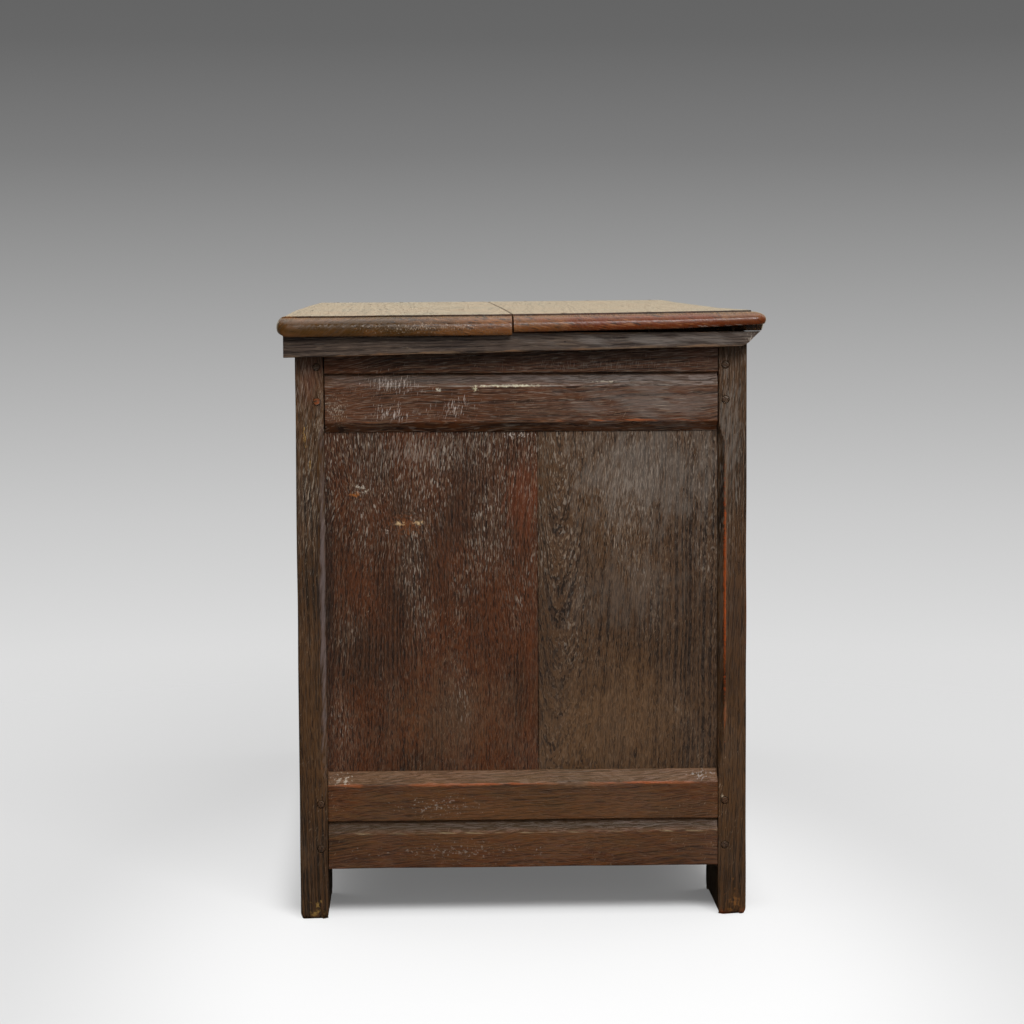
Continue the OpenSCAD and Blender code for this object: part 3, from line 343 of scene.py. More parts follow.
# Materials
def linear(hex_colour):
    """An sRGB hex colour as linear RGBA."""
    c = np.array([int(hex_colour[i:i + 2], 16) for i in (1, 3, 5)]) / 255
    c = np.where(c <= 0.04045, c / 12.92, ((c + 0.055) / 1.055) ** 2.4)
    return (*c, 1.0)


MODES = dict(Math="operation", VectorMath="operation", MapRange="interpolation_type", Mapping="vector_type",
             TexNoise="noise_dimensions")


def add(tree, kind, *inputs, stops=None, **given):
    """Adds a node. A second word in kind sets its mode. Plain inputs fill its sockets in order, names with
    a capital fill the socket of that name, and other names set properties. An output as a value is linked,
    and a node by its first output in use."""
    kind, _, mode = kind.partition(" ")
    new = tree.nodes.new("ShaderNode" + kind)
    if mode:
        setattr(new, MODES[kind], mode)
    for key, value in given.items():
        if key[0].islower():
            setattr(new, key, value)
    named = [(new.inputs[k.replace("_", " ")], v) for k, v in given.items() if k[0].isupper()]
    for socket, value in [*zip(new.inputs, inputs), *named]:
        if isinstance(value, bpy.types.Node):
            value = next(output for output in value.outputs if output.enabled)
        if isinstance(value, bpy.types.NodeSocket):
            tree.links.new(value, socket)
        else:
            socket.default_value = linear(value) if isinstance(value, str) else value
    if stops:
        marks = new.color_ramp.elements
        while len(marks) < len(stops):
            marks.new(0.5)
        for mark, (at, colour) in zip(marks, stops):
            mark.position, mark.color = at, linear(colour)
    return new


def new_tree(name):
    """A material with an empty node tree, and the function that adds nodes to it."""
    material = bpy.data.materials.new(name)
    material.use_nodes = True
    material.node_tree.nodes.clear()
    return material, functools.partial(add, material.node_tree)


def oak(name, grain, dark, mid, tint, worn, pith=(0, 0, 0), lean=(0, 0, 0), ring=3.4, roughness=0.45,
        pore_depth=0.45, pore_w=1.1, pore_l=9, chalky=0.3, bloom=0.12, marks=(), knots=(), inside="box",
        wear=0.8, glint_amount=0.5, bend=14.0, contrast=1.0, gloss=0.22, ledge_dust_and_light=0.25, paired=False):
    """Oak under old wax. Rings are cylinders about the pith, which gives straight lines on a quartered
    board and arches on a flat-sawn one. Pores are dashes along the grain, gathered in the rings. ring,
    bend, pore_w, pore_l and pore_depth are in mm; inside says where the wood was never waxed."""
    material, put = new_tree(name)
    coords = put("TexCoord")
    place = coords.outputs["Object"]
    upright = tuple(float(axis == grain) for axis in "xyz")
    flat = tuple(1 - a for a in upright)

    def figure(across, along, detail, rough=0.5, shift=(0, 0, 0)):
        """A noise whose marks are that wide across the grain and that long along it."""
        scale = tuple(1 / (along if a else across) for a in upright)
        return put("TexNoise", Vector=put("Mapping", place, shift, Scale=scale), Scale=1.0, Detail=detail,
                   Roughness=rough)

    drift = figure(0.10, 0.26, 2.0)
    drift = put("VectorMath SUBTRACT", drift.outputs["Color"], (0.5, 0.5, 0.5))
    drift = put("VectorMath MULTIPLY", drift, (bend * MM,) * 3)
    grown = place
    if paired:
        # The right end is sawn from the same log as the left one, so both have the figure near the pith
        sides = put("SeparateXYZ", place)
        inward = put("Math MULTIPLY", put("Math ABSOLUTE", sides.outputs["X"]), -1.0)
        grown = put("CombineXYZ", inward, sides.outputs["Y"], sides.outputs["Z"])
    wavy = put("VectorMath ADD", grown, drift)
    for centre, size, push in knots:
        # The grain parts round a knot
        off = put("VectorMath SUBTRACT", place, centre)
        near = put("VectorMath LENGTH", put("VectorMath MULTIPLY", off, (1 / size,) * 3))
        pull = put("Math ADD", put("Math MULTIPLY", near, near), 1.0)
        pull = put("Math DIVIDE", push, pull)
        wavy = put("VectorMath ADD", wavy, put("VectorMath MULTIPLY", off, pull))

    # Growth rings
    about = put("Mapping", put("VectorMath SUBTRACT", wavy, pith),
                Rotation=tuple(math.radians(a) for a in lean))
    radius = put("VectorMath LENGTH", put("VectorMath MULTIPLY", about, flat))
    rings = put("TexNoise 1D", W=put("Math MULTIPLY", radius, 1 / (ring * MM)), Scale=1.0, Detail=1.0,
                Roughness=0.6)
    early = put("MapRange SMOOTHSTEP", rings, 0.42, 0.62)

    # Pores follow the rings: pits about 1 mm wide and 9 to 24 mm long, coarser than the real 0.3 mm, so that
    # they show. Each is darkened and, shifted by half its width, has a lip painted pale as a highlight where
    # the light would catch it
    along = put("VectorMath DOT_PRODUCT", wavy, upright)
    aside = put("VectorMath DOT_PRODUCT", wavy, flat)
    fibre = put("CombineXYZ", put("Math MULTIPLY", radius, 1 / (pore_w * MM)),
                put("Math MULTIPLY", along, 1 / (pore_l * MM)), put("Math MULTIPLY", aside, 1 / (2.4 * MM)))
    dashes = put("TexNoise", Vector=fibre, Scale=1.0, Detail=1.5, Roughness=0.45)
    glint_lip = put("TexNoise", Vector=put("VectorMath ADD", fibre, (0.6, 0, 0.25)), Scale=1.0, Detail=1.5,
              Roughness=0.45)
    crowd = put("MapRange", early, 0.0, 1.0, 0.55, 1.0)
    pore = put("Math MULTIPLY", put("MapRange SMOOTHSTEP", dashes, 0.49, 0.59), crowd)
    glint_lip = put("Math MULTIPLY", put("MapRange SMOOTHSTEP", glint_lip, 0.54, 0.63), put("Math SUBTRACT", 1.0, pore))
    chalk = put("TexNoise", Vector=put("VectorMath MULTIPLY", fibre, (0.75, 0.9, 0.5)), Scale=1.0, Detail=1.0)

    # Zones of colour, a hand or so wide, with the pores' dark sides and the painted highlights of their lips
    # over them
    pale = "#87735f"
    zones = figure(0.09, 0.16, 4.0, 0.6)
    tinted = put("MapRange SMOOTHSTEP", zones, 0.36, 0.66)
    cloud = figure(0.05, 0.11, 4.0, shift=(3.1, 1.7, 0.4))
    hazy = put("MapRange SMOOTHSTEP", cloud, 0.45, 0.7, 0.0, bloom)
    # Higher up the lips' highlights are painted stronger, a painted sheen of the light from above; the chalk
    # below follows the same map
    cloud = put("Math MULTIPLY_ADD", put("SeparateXYZ", place).outputs["Z"], 1.0,
                put("Math ADD", cloud, -0.47))
    colour = put("MixRGB", early, mid, dark)
    colour = put("MixRGB", tinted, colour, tint)
    colour = put("MixRGB", hazy, colour, "#5f5044")
    colour = put("MixRGB", put("Math MULTIPLY", pore, 0.8 * contrast), colour, "#110905")
    # Painted highlights: the pale lips of the pores
    painted_glint = put("Math MULTIPLY", glint_lip, put("MapRange", cloud, 0.36, 0.62, 0.3 * glint_amount, glint_amount))
    colour = put("MixRGB", painted_glint, colour, pale)
    # Old polish lies like chalk in a few of the pores
    chalk = put("Math MULTIPLY", put("MapRange", chalk, 0.63, 0.68),
                put("MapRange", cloud, 0.42, 0.62, 0.1 * chalky, chalky))
    colour = put("MixRGB", chalk, colour, "#a3978a")

    # Scratches and knocks: sparse, at a slant
    slant = put("Mapping TEXTURE", place, Rotation=(0.5, 0.3, 0.4), Scale=(0.004, 0.0016, 0.009))
    scratch = put("TexNoise", Vector=slant, Scale=1.0, Detail=2.0)
    sparse = put("TexNoise", Vector=place, Scale=14.0, Detail=1.0)
    scratch = put("Math MULTIPLY", put("MapRange", scratch, 0.66, 0.72),
                  put("MapRange", sparse, 0.5, 0.62, 0.0, 0.45))
    colour = put("MixRGB", scratch, colour, pale)

    # Faces that look up are painted paler: partly rub and dust on the ledges, partly painted light from above.
    # Arrises are worn through to bare wood in places; below zero the attribute marks an inner corner, which is
    # painted with shade
    normal = put("SeparateXYZ", coords.outputs["Normal"]).outputs["Z"]
    broken = figure(0.012, 0.07, 6.0, 0.65)
    dust_and_top_light = put("Math MULTIPLY", put("MapRange", normal, 0.25, 0.6, 0.0, ledge_dust_and_light),
                put("MapRange", broken, 0.3, 0.6, 0.5, 1.0))
    colour = put("MixRGB", dust_and_top_light, colour, "#8c7050")
    rub = put("Attribute", attribute_name="worn").outputs["Fac"]
    rubbed = put("Math ADD", rub, put("MapRange", broken, 0.35, 0.65, -0.8, 0.2))
    rubbed = put("MapRange SMOOTHSTEP", rubbed, 0.3, 0.9, 0.0, wear)
    colour = put("MixRGB", rubbed, colour, put("MixRGB", tinted, "#6d5640", worn))
    # Painted shade: inner corners turn near black
    corner_shade = put("MapRange", rub, 0.0, -0.8, 0.0, 0.85)
    colour = put("MixRGB", corner_shade, colour, "#0c0806")
    for centre, half, shade, strength, grit, breakup in marks:
        # A stain, scuff or streak of paint, or a painted highlight, sheen or shade: an oval, broken up by a
        # noise of its own scale
        near = put("VectorMath SUBTRACT", place, centre)
        near = put("VectorMath MULTIPLY", near, tuple(1 / h for h in half))
        near = put("VectorMath LENGTH", near)
        ragged = put("Mapping TEXTURE", place, Rotation=(0.16, 0, 0), Scale=grit)
        ragged = put("TexNoise", Vector=ragged, Scale=1.0, Detail=3.0, Roughness=0.6)
        near = put("Math ADD", near, put("MapRange", ragged, 0.25, 0.75, 2.2 * breakup, -0.6 * breakup))
        near = put("MapRange SMOOTHSTEP", near, 0.3, 1.1, strength, 0.0)
        colour = put("MixRGB", near, colour, shade)

    rough = put("MapRange", pore, 0.0, 1.0, roughness, roughness + 0.3)
    if inside:
        # Inside the coffer and under the lid the oak was never waxed: paler, greyer and dry. The box has
        # its inside above the bottom boards, and the lid where its faces look down
        room = BOX_ROOM if inside == "box" else LID_ROOM
        split = put("SeparateXYZ", put("VectorMath SUBTRACT", put("VectorMath ABSOLUTE", place), room))
        if inside == "box":
            low = put("Math SUBTRACT", BOX_ROOM_Z, put("SeparateXYZ", place).outputs["Z"])
        else:
            low = put("Math ADD", normal, 0.5)
        edge = put("Math MAXIMUM", put("Math MAXIMUM", split.outputs["X"], split.outputs["Y"]), low)
        within = put("MapRange", edge, 0.0, -0.0006)
        dry = put("MixRGB", early, "#6b5238", "#4f3b28")
        dry = put("MixRGB", put("Math MULTIPLY", pore, 0.5), dry, "#2a1d12")
        colour = put("MixRGB", within, colour, dry)
        rough = put("MapRange", within, 0.0, 1.0, rough, 0.75)

    # Heights in mm: pores are pits, the rings stand proud, and the face is a little uneven
    uneven = figure(0.012, 0.05, 3.0)
    height = put("Math MULTIPLY", pore, -pore_depth)
    height = put("Math MULTIPLY_ADD", early, -0.06, height)
    height = put("Math MULTIPLY_ADD", uneven, 0.5, height)
    height = put("Math MULTIPLY_ADD", scratch, -0.2, height)
    bump = put("Bump", Strength=1.0, Distance=MM, Height=height)
    finish = put("BsdfPrincipled", Base_Color=colour, Roughness=rough, Normal=bump, IOR=1.5,
                 Specular_IOR_Level=gloss)
    put("OutputMaterial", Surface=finish)
    return material


def iron(name, base, rust, roughness, hammered=0.35):
    """Wrought iron: forged, so its face is dimpled by the hammer, dark with scale and browned by rust."""
    material, put = new_tree(name)
    place = put("TexCoord").outputs["Object"]
    dimples = put("TexNoise", Vector=place, Scale=110.0, Detail=2.0)
    pits = put("TexNoise", Vector=place, Scale=900.0, Detail=3.0)
    bloom = put("TexNoise", Vector=place, Scale=45.0, Detail=5.0, Roughness=0.7)
    rusty = put("MapRange SMOOTHSTEP", bloom, 0.45, 0.65, 0.0, 0.8)
    colour = put("MixRGB", rusty, base, rust)
    colour = put("MixRGB", put("MapRange", pits, 0.55, 0.7, 0.0, 0.7), colour, "#0d0b0a")
    height = put("Math MULTIPLY", dimples, hammered)
    height = put("Math MULTIPLY_ADD", pits, 0.05, height)
    finish = put("BsdfPrincipled", Base_Color=colour, Metallic=0.75,
                 Roughness=put("MapRange", rusty, 0.0, 0.8, roughness, roughness + 0.3),
                 Normal=put("Bump", Strength=1.0, Distance=MM, Height=height))
    put("OutputMaterial", Surface=finish)
    return material


WAXED = dict(dark="#2c1708", mid="#48280f", tint="#4f290e", worn="#8a4418", glint_amount=0.3, pore_l=20,
             pore_w=0.95, contrast=0.8, chalky=0.2)
STILE = dict(WAXED, dark="#251708", mid="#402914", tint="#4a3017", pore_l=18, pore_w=1.1)
PANEL_RED = dict(dark="#2b1608", mid="#3f2410", tint="#49240a", worn="#7d3f1c", wear=0.0)
PANEL_GREY = dict(dark="#2c1d12", mid="#442e1b", tint="#48301a", worn="#7d4a24", wear=0.0, glint_amount=0.45,
                  chalky=0.35)
LID = dict(dark="#3d2411", mid="#5e3d20", tint="#6b4423", worn="#7d4a22", roughness=0.22, inside="below",
           pore_depth=0.05, gloss=0.28, contrast=0.5, ledge_dust_and_light=0.0, wear=0.3, glint_amount=0.15, chalky=0.0)


def on_face(x, half_x, *rows):
    """Marks on a face that looks along x: marks of use, and some painted highlights, sheens and shades. Each
    row: y and z of its centre, half its width and height, colour, strength, grain of its edge, how broken it
    is."""
    return tuple(((x, y, z), (half_x, half_y, half_z), *look) for y, z, half_y, half_z, *look in rows)


# Grains of the edges of marks
LONG_CUT, SHORT_CUT, CRUMB = (0.004, 0.05, 0.004), (0.01, 0.0012, 0.009), (0.004, 0.004, 0.004)
CLOUDY, FINE, RUNS = (0.05, 0.012, 0.03), (0.003, 0.003, 0.003), (0.01, 0.003, 0.03)
STREAK, CHIP, SCRAPE = (0.01, 0.004, 0.02), (0.003, 0.0015, 0.006), (0.003, 0.0012, 0.006)
STAIN, DUST, HAIR = (0.006, 0.006, 0.008), (0.006, 0.004, 0.003), (0.01, 0.0015, 0.012)

TOP_RAIL_MARKS = on_face(
    -0.655, 0.02,
    (0.016, 0.6972, 0.068, 0.0024, "#d8d0b0", 0.9, CRUMB, 0.32),
    (0.107, 0.6925, 0.0075, 0.004, "#bdb6a4", 0.8, FINE, 0.5),
    (0.06, 0.6935, 0.0065, 0.005, "#c9c19f", 0.8, FINE, 0.5),
    (-0.105, 0.702, 0.028, 0.0016, "#b9ad94", 0.7, CRUMB, 0.5),
    (0, 0.706, 0.55, 0.01, "#38322f", 0.6, LONG_CUT, 0.2),
    # Pale line on the channel's lower arris: wear, and a painted highlight
    (0, 0.6972, 0.45, 0.0013, "#857a70", 0.7, LONG_CUT, 0.5),
    # Grey haze on the right of the rail: painted sheen
    (-0.17, 0.675, 0.15, 0.05, "#6f655e", 0.42, (0.05, 0.05, 0.012), 0.35),
    (0.165, 0.699, 0.055, 0.018, "#a0938a", 0.75, SHORT_CUT, 1.2),
    (0.165, 0.662, 0.045, 0.014, "#a0938a", 0.85, SHORT_CUT, 1.2),
    (0.085, 0.67, 0.03, 0.02, "#a0938a", 0.8, SHORT_CUT, 1.4),
    (0.24, 0.668, 0.018, 0.023, "#9f8f7e", 0.85, (0.003, 0.0012, 0.004), 1.0),
    (0.235, 0.657, 0.018, 0.015, "#5e3f26", 0.5, CRUMB, 0.5),
    (-0.09, 0.725, 0.18, 0.012, "#8d8177", 0.25, SHORT_CUT, 1.4),
    (-0.13, 0.652, 0.13, 0.0028, "#8a4418", 0.7, LONG_CUT, 0.6))
LOW_RAIL_MARKS = on_face(
    -0.655, 0.02,
    (0.04, 0.1765, 0.11, 0.0026, "#96420f", 0.75, LONG_CUT, 0.5),
    (-0.16, 0.1765, 0.1, 0.0026, "#96420f", 0.75, LONG_CUT, 0.5),
    (0.236, 0.184, 0.022, 0.009, "#a89c8c", 0.7, CRUMB, 0.8),
    (-0.236, 0.186, 0.024, 0.008, "#9a928c", 0.7, CRUMB, 0.8),
    # Near black along the lower channel: painted shade in the recess
    (0, 0.121, 0.55, 0.0105, "#120c08", 0.85, LONG_CUT, 0.2),
    # Pale line on the channel's lower arris: painted highlight, partly wear
    (0, 0.1118, 0.45, 0.0018, "#8c7a5e", 0.7, LONG_CUT, 0.6),
    (0, 0.13, 0.6, 0.1, "#6a4e28", 0.22, LONG_CUT, 0.3),
    (0.09, 0.088, 0.12, 0.014, "#8d8177", 0.4, DUST, 1.5),
    (0.11, 0.148, 0.06, 0.014, "#8d8177", 0.5, DUST, 1.4))
BACK_STILE_MARKS = on_face(
    -0.658, 0.02,
    (0.274, 0.715, 0.03, 0.07, "#633c2a", 0.40, STREAK, 0.3),
    (0.274, 0.54, 0.014, 0.13, "#100a06", 0.85, (0.01, 0.0014, 0.03), 1.3)) + on_face(
    -0.652, 0.02,
    # Grey on the chamfer: painted sheen
    (0.259, 0.42, 0.007, 0.34, "#6c5f5c", 0.75, RUNS, 0.3)) + on_face(
    -0.655, 0.02,
    (0.266, 0.42, 0.0022, 0.34, "#140d09", 0.6, RUNS, 0.4)) + on_face(
    -0.658, 0.02,
    (0.28, 0.633, 0.0042, 0.023, "#a8803c", 0.9, CHIP, 0.8),
    (0.274, 0.596, 0.0026, 0.015, "#8f6d35", 0.7, CHIP, 0.8),
    (0.262, 0.648, 0.009, 0.026, "#9a8874", 0.6, SCRAPE, 1.1),
    (0.257, 0.69, 0.009, 0.026, "#9a8874", 0.5, SCRAPE, 1.3),
    (0.266, 0.011, 0.018, 0.028, "#8f6f38", 0.7, STAIN, 0.9),
    (0.282, 0.7, 0.014, 0.07, "#8d7a6c", 0.5, (0.01, 0.002, 0.02), 1.1),
    (0.276, 0.56, 0.018, 0.11, "#9a8a78", 0.6, (0.01, 0.0012, 0.016), 1.5))
FRONT_STILE_MARKS = on_face(
    -0.658, 0.02,
    (-0.278, 0.4, 0.03, 0.2, "#2e1b12", 0.28, STREAK, 0.3)) + on_face(
    -0.652, 0.02,
    (-0.26, 0.42, 0.005, 0.23, "#5c4c40", 0.5, RUNS, 0.5)) + on_face(
    -0.658, 0.02,
    (-0.264, 0.43, 0.0024, 0.23, "#9c4210", 0.85, LONG_CUT, 0.3),
    (-0.278, 0.018, 0.02, 0.03, "#7a4e22", 0.6, STAIN, 0.9),
    (-0.2925, 0.4, 0.0016, 0.16, "#8a3c14", 0.7, LONG_CUT, 0.4),
    # Grey haze high on the stile: painted sheen
    (-0.27, 0.64, 0.03, 0.13, "#6a625a", 0.45, STREAK, 0.5),
    (-0.262, 0.157, 0.005, 0.005, "#a08f78", 0.8, CRUMB, 0.5))
RED_BOARD_MARKS = on_face(
    -0.645, 0.02,
    # Dark strip beside the stile: painted shadow
    (0.255, 0.42, 0.015, 0.35, "#180f09", 0.6, (0.02, 0.01, 0.1), 0.2),
    (0.216, 0.556, 0.012, 0.008, "#9a5a1e", 0.75, CRUMB, 0.6),
    (0.208, 0.564, 0.012, 0.008, "#b3a797", 0.85, CRUMB, 0.7),
    (0.15, 0.516, 0.034, 0.024, "#6e3a10", 0.65, CRUMB, 0.5),
    (0.16, 0.518, 0.01, 0.0055, "#b89c74", 0.9, CRUMB, 0.5),
    (0.134, 0.5195, 0.01, 0.0055, "#b89c74", 0.9, CRUMB, 0.5),
    (0.176, 0.509, 0.007, 0.007, "#a39486", 0.8, CRUMB, 0.7),
    (0.01, 0.633, 0.04, 0.006, "#b0a49a", 0.75, (0.003, 0.003, 0.004), 1.1),
    (-0.002, 0.55, 0.04, 0.09, "#6a3010", 0.45, (0.01, 0.004, 0.03), 0.4),
    (-0.01, 0.32, 0.02, 0.18, "#62300f", 0.3, (0.01, 0.004, 0.04), 0.4),
    (0.09, 0.26, 0.15, 0.11, "#6a4c32", 0.22, CLOUDY, 0.3),
    # Pale hairlines high on the board: painted glints
    (0.13, 0.61, 0.14, 0.04, "#8d8074", 0.45, HAIR, 0.9))
GREY_BOARD_MARKS = on_face(
    -0.645, 0.02,
    # Grey haze at the top: painted sheen
    (-0.17, 0.59, 0.18, 0.13, "#675d54", 0.5, CLOUDY, 0.35),
    # Pale hairlines: painted glints
    (-0.14, 0.57, 0.11, 0.1, "#8d8074", 0.4, HAIR, 1.0),
    # Grey haze lower down: painted sheen
    (-0.14, 0.43, 0.13, 0.09, "#5c5046", 0.35, CLOUDY, 0.4),
    (-0.12, 0.26, 0.17, 0.12, "#6e5238", 0.28, CLOUDY, 0.3))
LID_MARKS = on_face(
    -0.695, 0.04,
    (-0.17, 0.775, 0.33, 0.023, "#5a250a", 0.9, (0.02, 0.05, 0.02), 0.25),
    (0.23, 0.775, 0.27, 0.023, "#37250b", 0.9, (0.02, 0.05, 0.02), 0.25),
    (0, 0.778, 0.5, 0.02, "#1c1008", 0.75, (0.02, 0.014, 0.0022), 1.3),
    # Paler streaks along the nose: painted highlights
    (-0.1, 0.776, 0.3, 0.012, "#9a6a44", 0.5, (0.02, 0.02, 0.0016), 1.5)) + on_face(
    -0.698, 0.02,
    (0.13, 0.7735, 0.11, 0.008, "#a39280", 0.6, (0.004, 0.0016, 0.003), 1.3),
    (-0.26, 0.773, 0.06, 0.006, "#94857a", 0.6, (0.01, 0.012, 0.002), 0.8)) + on_face(
    -0.5, 0.014,
    (0.262, 0.79, 0.0045, 0.02, "#1c1410", 0.8, CRUMB, 0.2))
CLEAT_MARKS = on_face(
    -0.69, 0.03,
    # Grey band along the front half: painted light
    (-0.15, 0.757, 0.22, 0.011, "#6f6761", 0.5, (0.05, 0.06, 0.01), 0.4),
    (-0.298, 0.758, 0.018, 0.014, "#9f958a", 0.6, (0.01, 0.0016, 0.006), 1.2),
    # A small hole, painted near black: painted shade
    (-0.055, 0.7545, 0.0016, 0.0016, "#0c0806", 1.0, CRUMB, 0.1))

back_stile_oak = oak("waxed oak, back stiles", "z", pith=(-0.60, 0.40, 0), lean=(2, 1, 0),
                     marks=BACK_STILE_MARKS, knots=(((-0.658, 0.240, 0.662), 0.03, 0.6),), **STILE)
front_stile_oak = oak("waxed oak, front stiles", "z", pith=(-0.57, -0.40, 0), lean=(-2, 1, 0),
                      marks=FRONT_STILE_MARKS, **STILE)
end_rail_oak = oak("waxed oak, end rails", "y", pith=(-0.55, 0, 0.9), lean=(4, 0, 3), bend=34.0,
                   marks=TOP_RAIL_MARKS + LOW_RAIL_MARKS, knots=(((-0.655, 0.240, 0.662), 0.03, 0.6),),
                   **WAXED)
long_rail_oak = oak("waxed oak, long rails", "x", pith=(0, -0.2, 0.5), lean=(0, 2, 1), **WAXED)
red_panel_oak = oak("waxed oak, red end boards", "z", pith=(-0.60, 0.28, 0), lean=(0, 3, 0), bend=26.0,
                    marks=RED_BOARD_MARKS, paired=True, chalky=0.55,
                    knots=(((-0.645, 0.160, 0.522), 0.02, 0.7), ((-0.645, 0.215, 0.560), 0.02, 0.6)),
                    **PANEL_RED)
grey_panel_oak = oak("waxed oak, grey end boards", "z", pith=(-0.666, -0.050, 0.5), lean=(0, -6, 0), ring=4.5,
                     marks=GREY_BOARD_MARKS, paired=True, **PANEL_GREY)
long_panel_oak = oak("waxed oak, long panels", "z", pith=(0, -0.2, 0.3), lean=(2, 1, 0), bend=22.0,
                     chalky=0.25, **PANEL_RED)
lid_oak = oak("polished oak, lid", "x", pith=(0, 0.1, 0.60), lean=(0, 1, 1), marks=LID_MARKS, **LID)
cleat_oak = oak("waxed oak, cleats", "y", pith=(-0.6, 0, 0.9), lean=(1, 0, 1), dark="#241913", mid="#3d3028",
                tint="#483a30", worn="#6f4424", marks=CLEAT_MARKS, contrast=0.55, glint_amount=0.2, chalky=0.08,
                pore_l=24)
PEG = dict(dark="#24160b", mid="#3c2614", tint="#452b16", worn="#7a4a22", ring=1.5, inside="")
PEG_MARKS = on_face(-HALF_L, 0.03, (END_PEG_Y, PEG_ZS[2], 0.008, 0.008, "#84421c", 0.85, CRUMB, 0.5))
peg_oak = oak("oak, riven pegs", "x", marks=PEG_MARKS, **PEG)
long_peg_oak = oak("oak, riven long pegs", "y", **PEG)
dry_oak = oak("dry oak, inside boards", "y", dark="#4f3b28", mid="#6b5238", tint="#745a3c", worn="#8c6c48",
              roughness=0.75, inside="", bloom=0.1)
black_iron = iron("wrought iron, blackened", "#4b4641", "#5a3c28", 0.48)
bolt_iron = iron("wrought iron, rubbed bright", "#77706a", "#5b4534", 0.38, 0.1)


# The frame
def chamfer_leg(z, low_run=CHAMFER_RUN):
    """Width of a stopped chamfer: it swells on a quarter sine at both ends."""
    low = np.sin(np.clip((z - CHAMFER_Z0) / low_run, 0, 1) * math.pi / 2)
    high = np.sin(np.clip((CHAMFER_Z1 - z) / CHAMFER_RUN, 0, 1) * math.pi / 2)
    return np.maximum(CHAMFER * low * high, ARRIS)


def chamfer_ease(leg):
    """How far the two arrises of a chamfer are eased."""
    return np.minimum(1.2 * MM, 0.56 * leg)


def stile_parts(end, side, low_run, seed):
    """A post: a rectangle with chamfered inner arrises, carried up from the foot. a runs in from the
    end of the coffer and b in from its front or back."""
    z = stations(STILE_H, 8 * MM, 8 * MM, 1 * MM)
    w, t = HALF_L - STILE_IN_X, HALF_D - STILE_IN_Y
    c = chamfer_leg(z, low_run)
    f = chamfer_leg(z) if side < 0 else np.full(len(z), ARRIS)
    corners = sections(len(z), (0, 0), (w - f, 0), (w, f), (w, t), (c, t), (0, t - 0.75 * c))
    knock = 1 + 0.6 * waves(np.stack([z * 0 + seed, z * 0, z], axis=-1), 0.06, seed)
    ease_c, ease_f = chamfer_ease(c), chamfer_ease(f)
    ease = sections(len(z), (2.2 * MM * knock, ease_f, ease_f, 0.8 * MM, ease_c, ease_c))[:, 0]

    def place(a, b, s):
        return end * (HALF_L - a), side * (HALF_D - b), s
    rub = np.tile([0.5, 0.3, 0.3, 0.2, 0.5, 1.0 if side < 0 else 0.6], (len(z), 1))
    rub[:, 5] *= c / CHAMFER
    return [timber(corners, ease, z, (8 * MM, 1 * MM), place, middle=5, end_wear=(1.0, 0.0), rub=rub)]


def rail_parts(section, ease, rub, z0, tenon_z, half, place, tenon_l, shrunk=(0.0, 0.0)):
    """A rail: its moulded section carried along, with a tenon at each end. shrunk is how much its two
    shoulders fall short of the stiles."""
    along = stations(2 * half - sum(shrunk), 9 * MM, 0.5 * MM, 0.5 * MM) - half + shrunk[0]
    count = len(along)
    corners = np.broadcast_to(np.array(section) + [0, z0], (count, len(section), 2)).copy()
    wander = waves(np.stack([along, along * 0, along * 0 + z0], axis=-1), 0.12, 5)
    knock = 1 + 0.45 * wander[:, None] * np.ones(len(section))
    ease = np.array(ease) * MM * knock
    parts = [timber(corners, ease, along, (0.5 * MM, 0.5 * MM), place, rub=np.array(rub))]
    for side in (-1, 1):
        s = np.sort(side * np.linspace(half - 2 * MM, half + tenon_l, 4))
        tenon = [[GROOVE_SET, tenon_z[0]], [GROOVE_SET + GROOVE_W, tenon_z[0]],
                 [GROOVE_SET + GROOVE_W, tenon_z[1]], [GROOVE_SET, tenon_z[1]]]
        corners = np.broadcast_to(np.array(tenon), (4, 4, 2))
        parts.append(timber(corners, np.full((4, 4), 0.5 * MM), s, (0.4 * MM, 0.4 * MM), place, middle=1))
    return parts


# Rails: section, ease in mm and wear of its corners, height of its underside, heights of its tenons
TOP_SECTION = [[0, TOP_BEVEL_H], [BEVEL_D, 0], [RAIL_T, 0], [RAIL_T, TOP_RAIL_H], [0, TOP_RAIL_H],
               [0, TOP_CHANNEL_UP], [CHANNEL_DEEP, TOP_CHANNEL_UP], [0, TOP_CHANNEL_UP - CHANNEL_H]]
TOP_RAIL = (TOP_SECTION, [1.4, 0.6, 0.6, 0.8, 1.0, 0.9, 0.4, 1.6], [0.6, 0.2, 0.2, 0.2, 0.2, 0.45, 0.0, 0.6],
            OPEN_Z1, TOP_TENON)
LOW_SECTION = [[0, 0], [RAIL_T, 0], [RAIL_T, BOTTOM_RAIL_H], [BEVEL_D, BOTTOM_RAIL_H],
               [0, BOTTOM_RAIL_H - LOW_BEVEL_H], [0, LOW_CHANNEL_UP], [CHANNEL_DEEP, LOW_CHANNEL_UP],
               [0, LOW_CHANNEL_UP - CHANNEL_H]]
LOW_RAIL = (LOW_SECTION, [1.6, 0.8, 0.6, 0.6, 1.6, 0.9, 0.4, 1.6], [0.55, 0.2, 0.2, 0.3, 0.95, 0.4, 0.0, 0.55],
            FOOT_H, LOW_TENON)
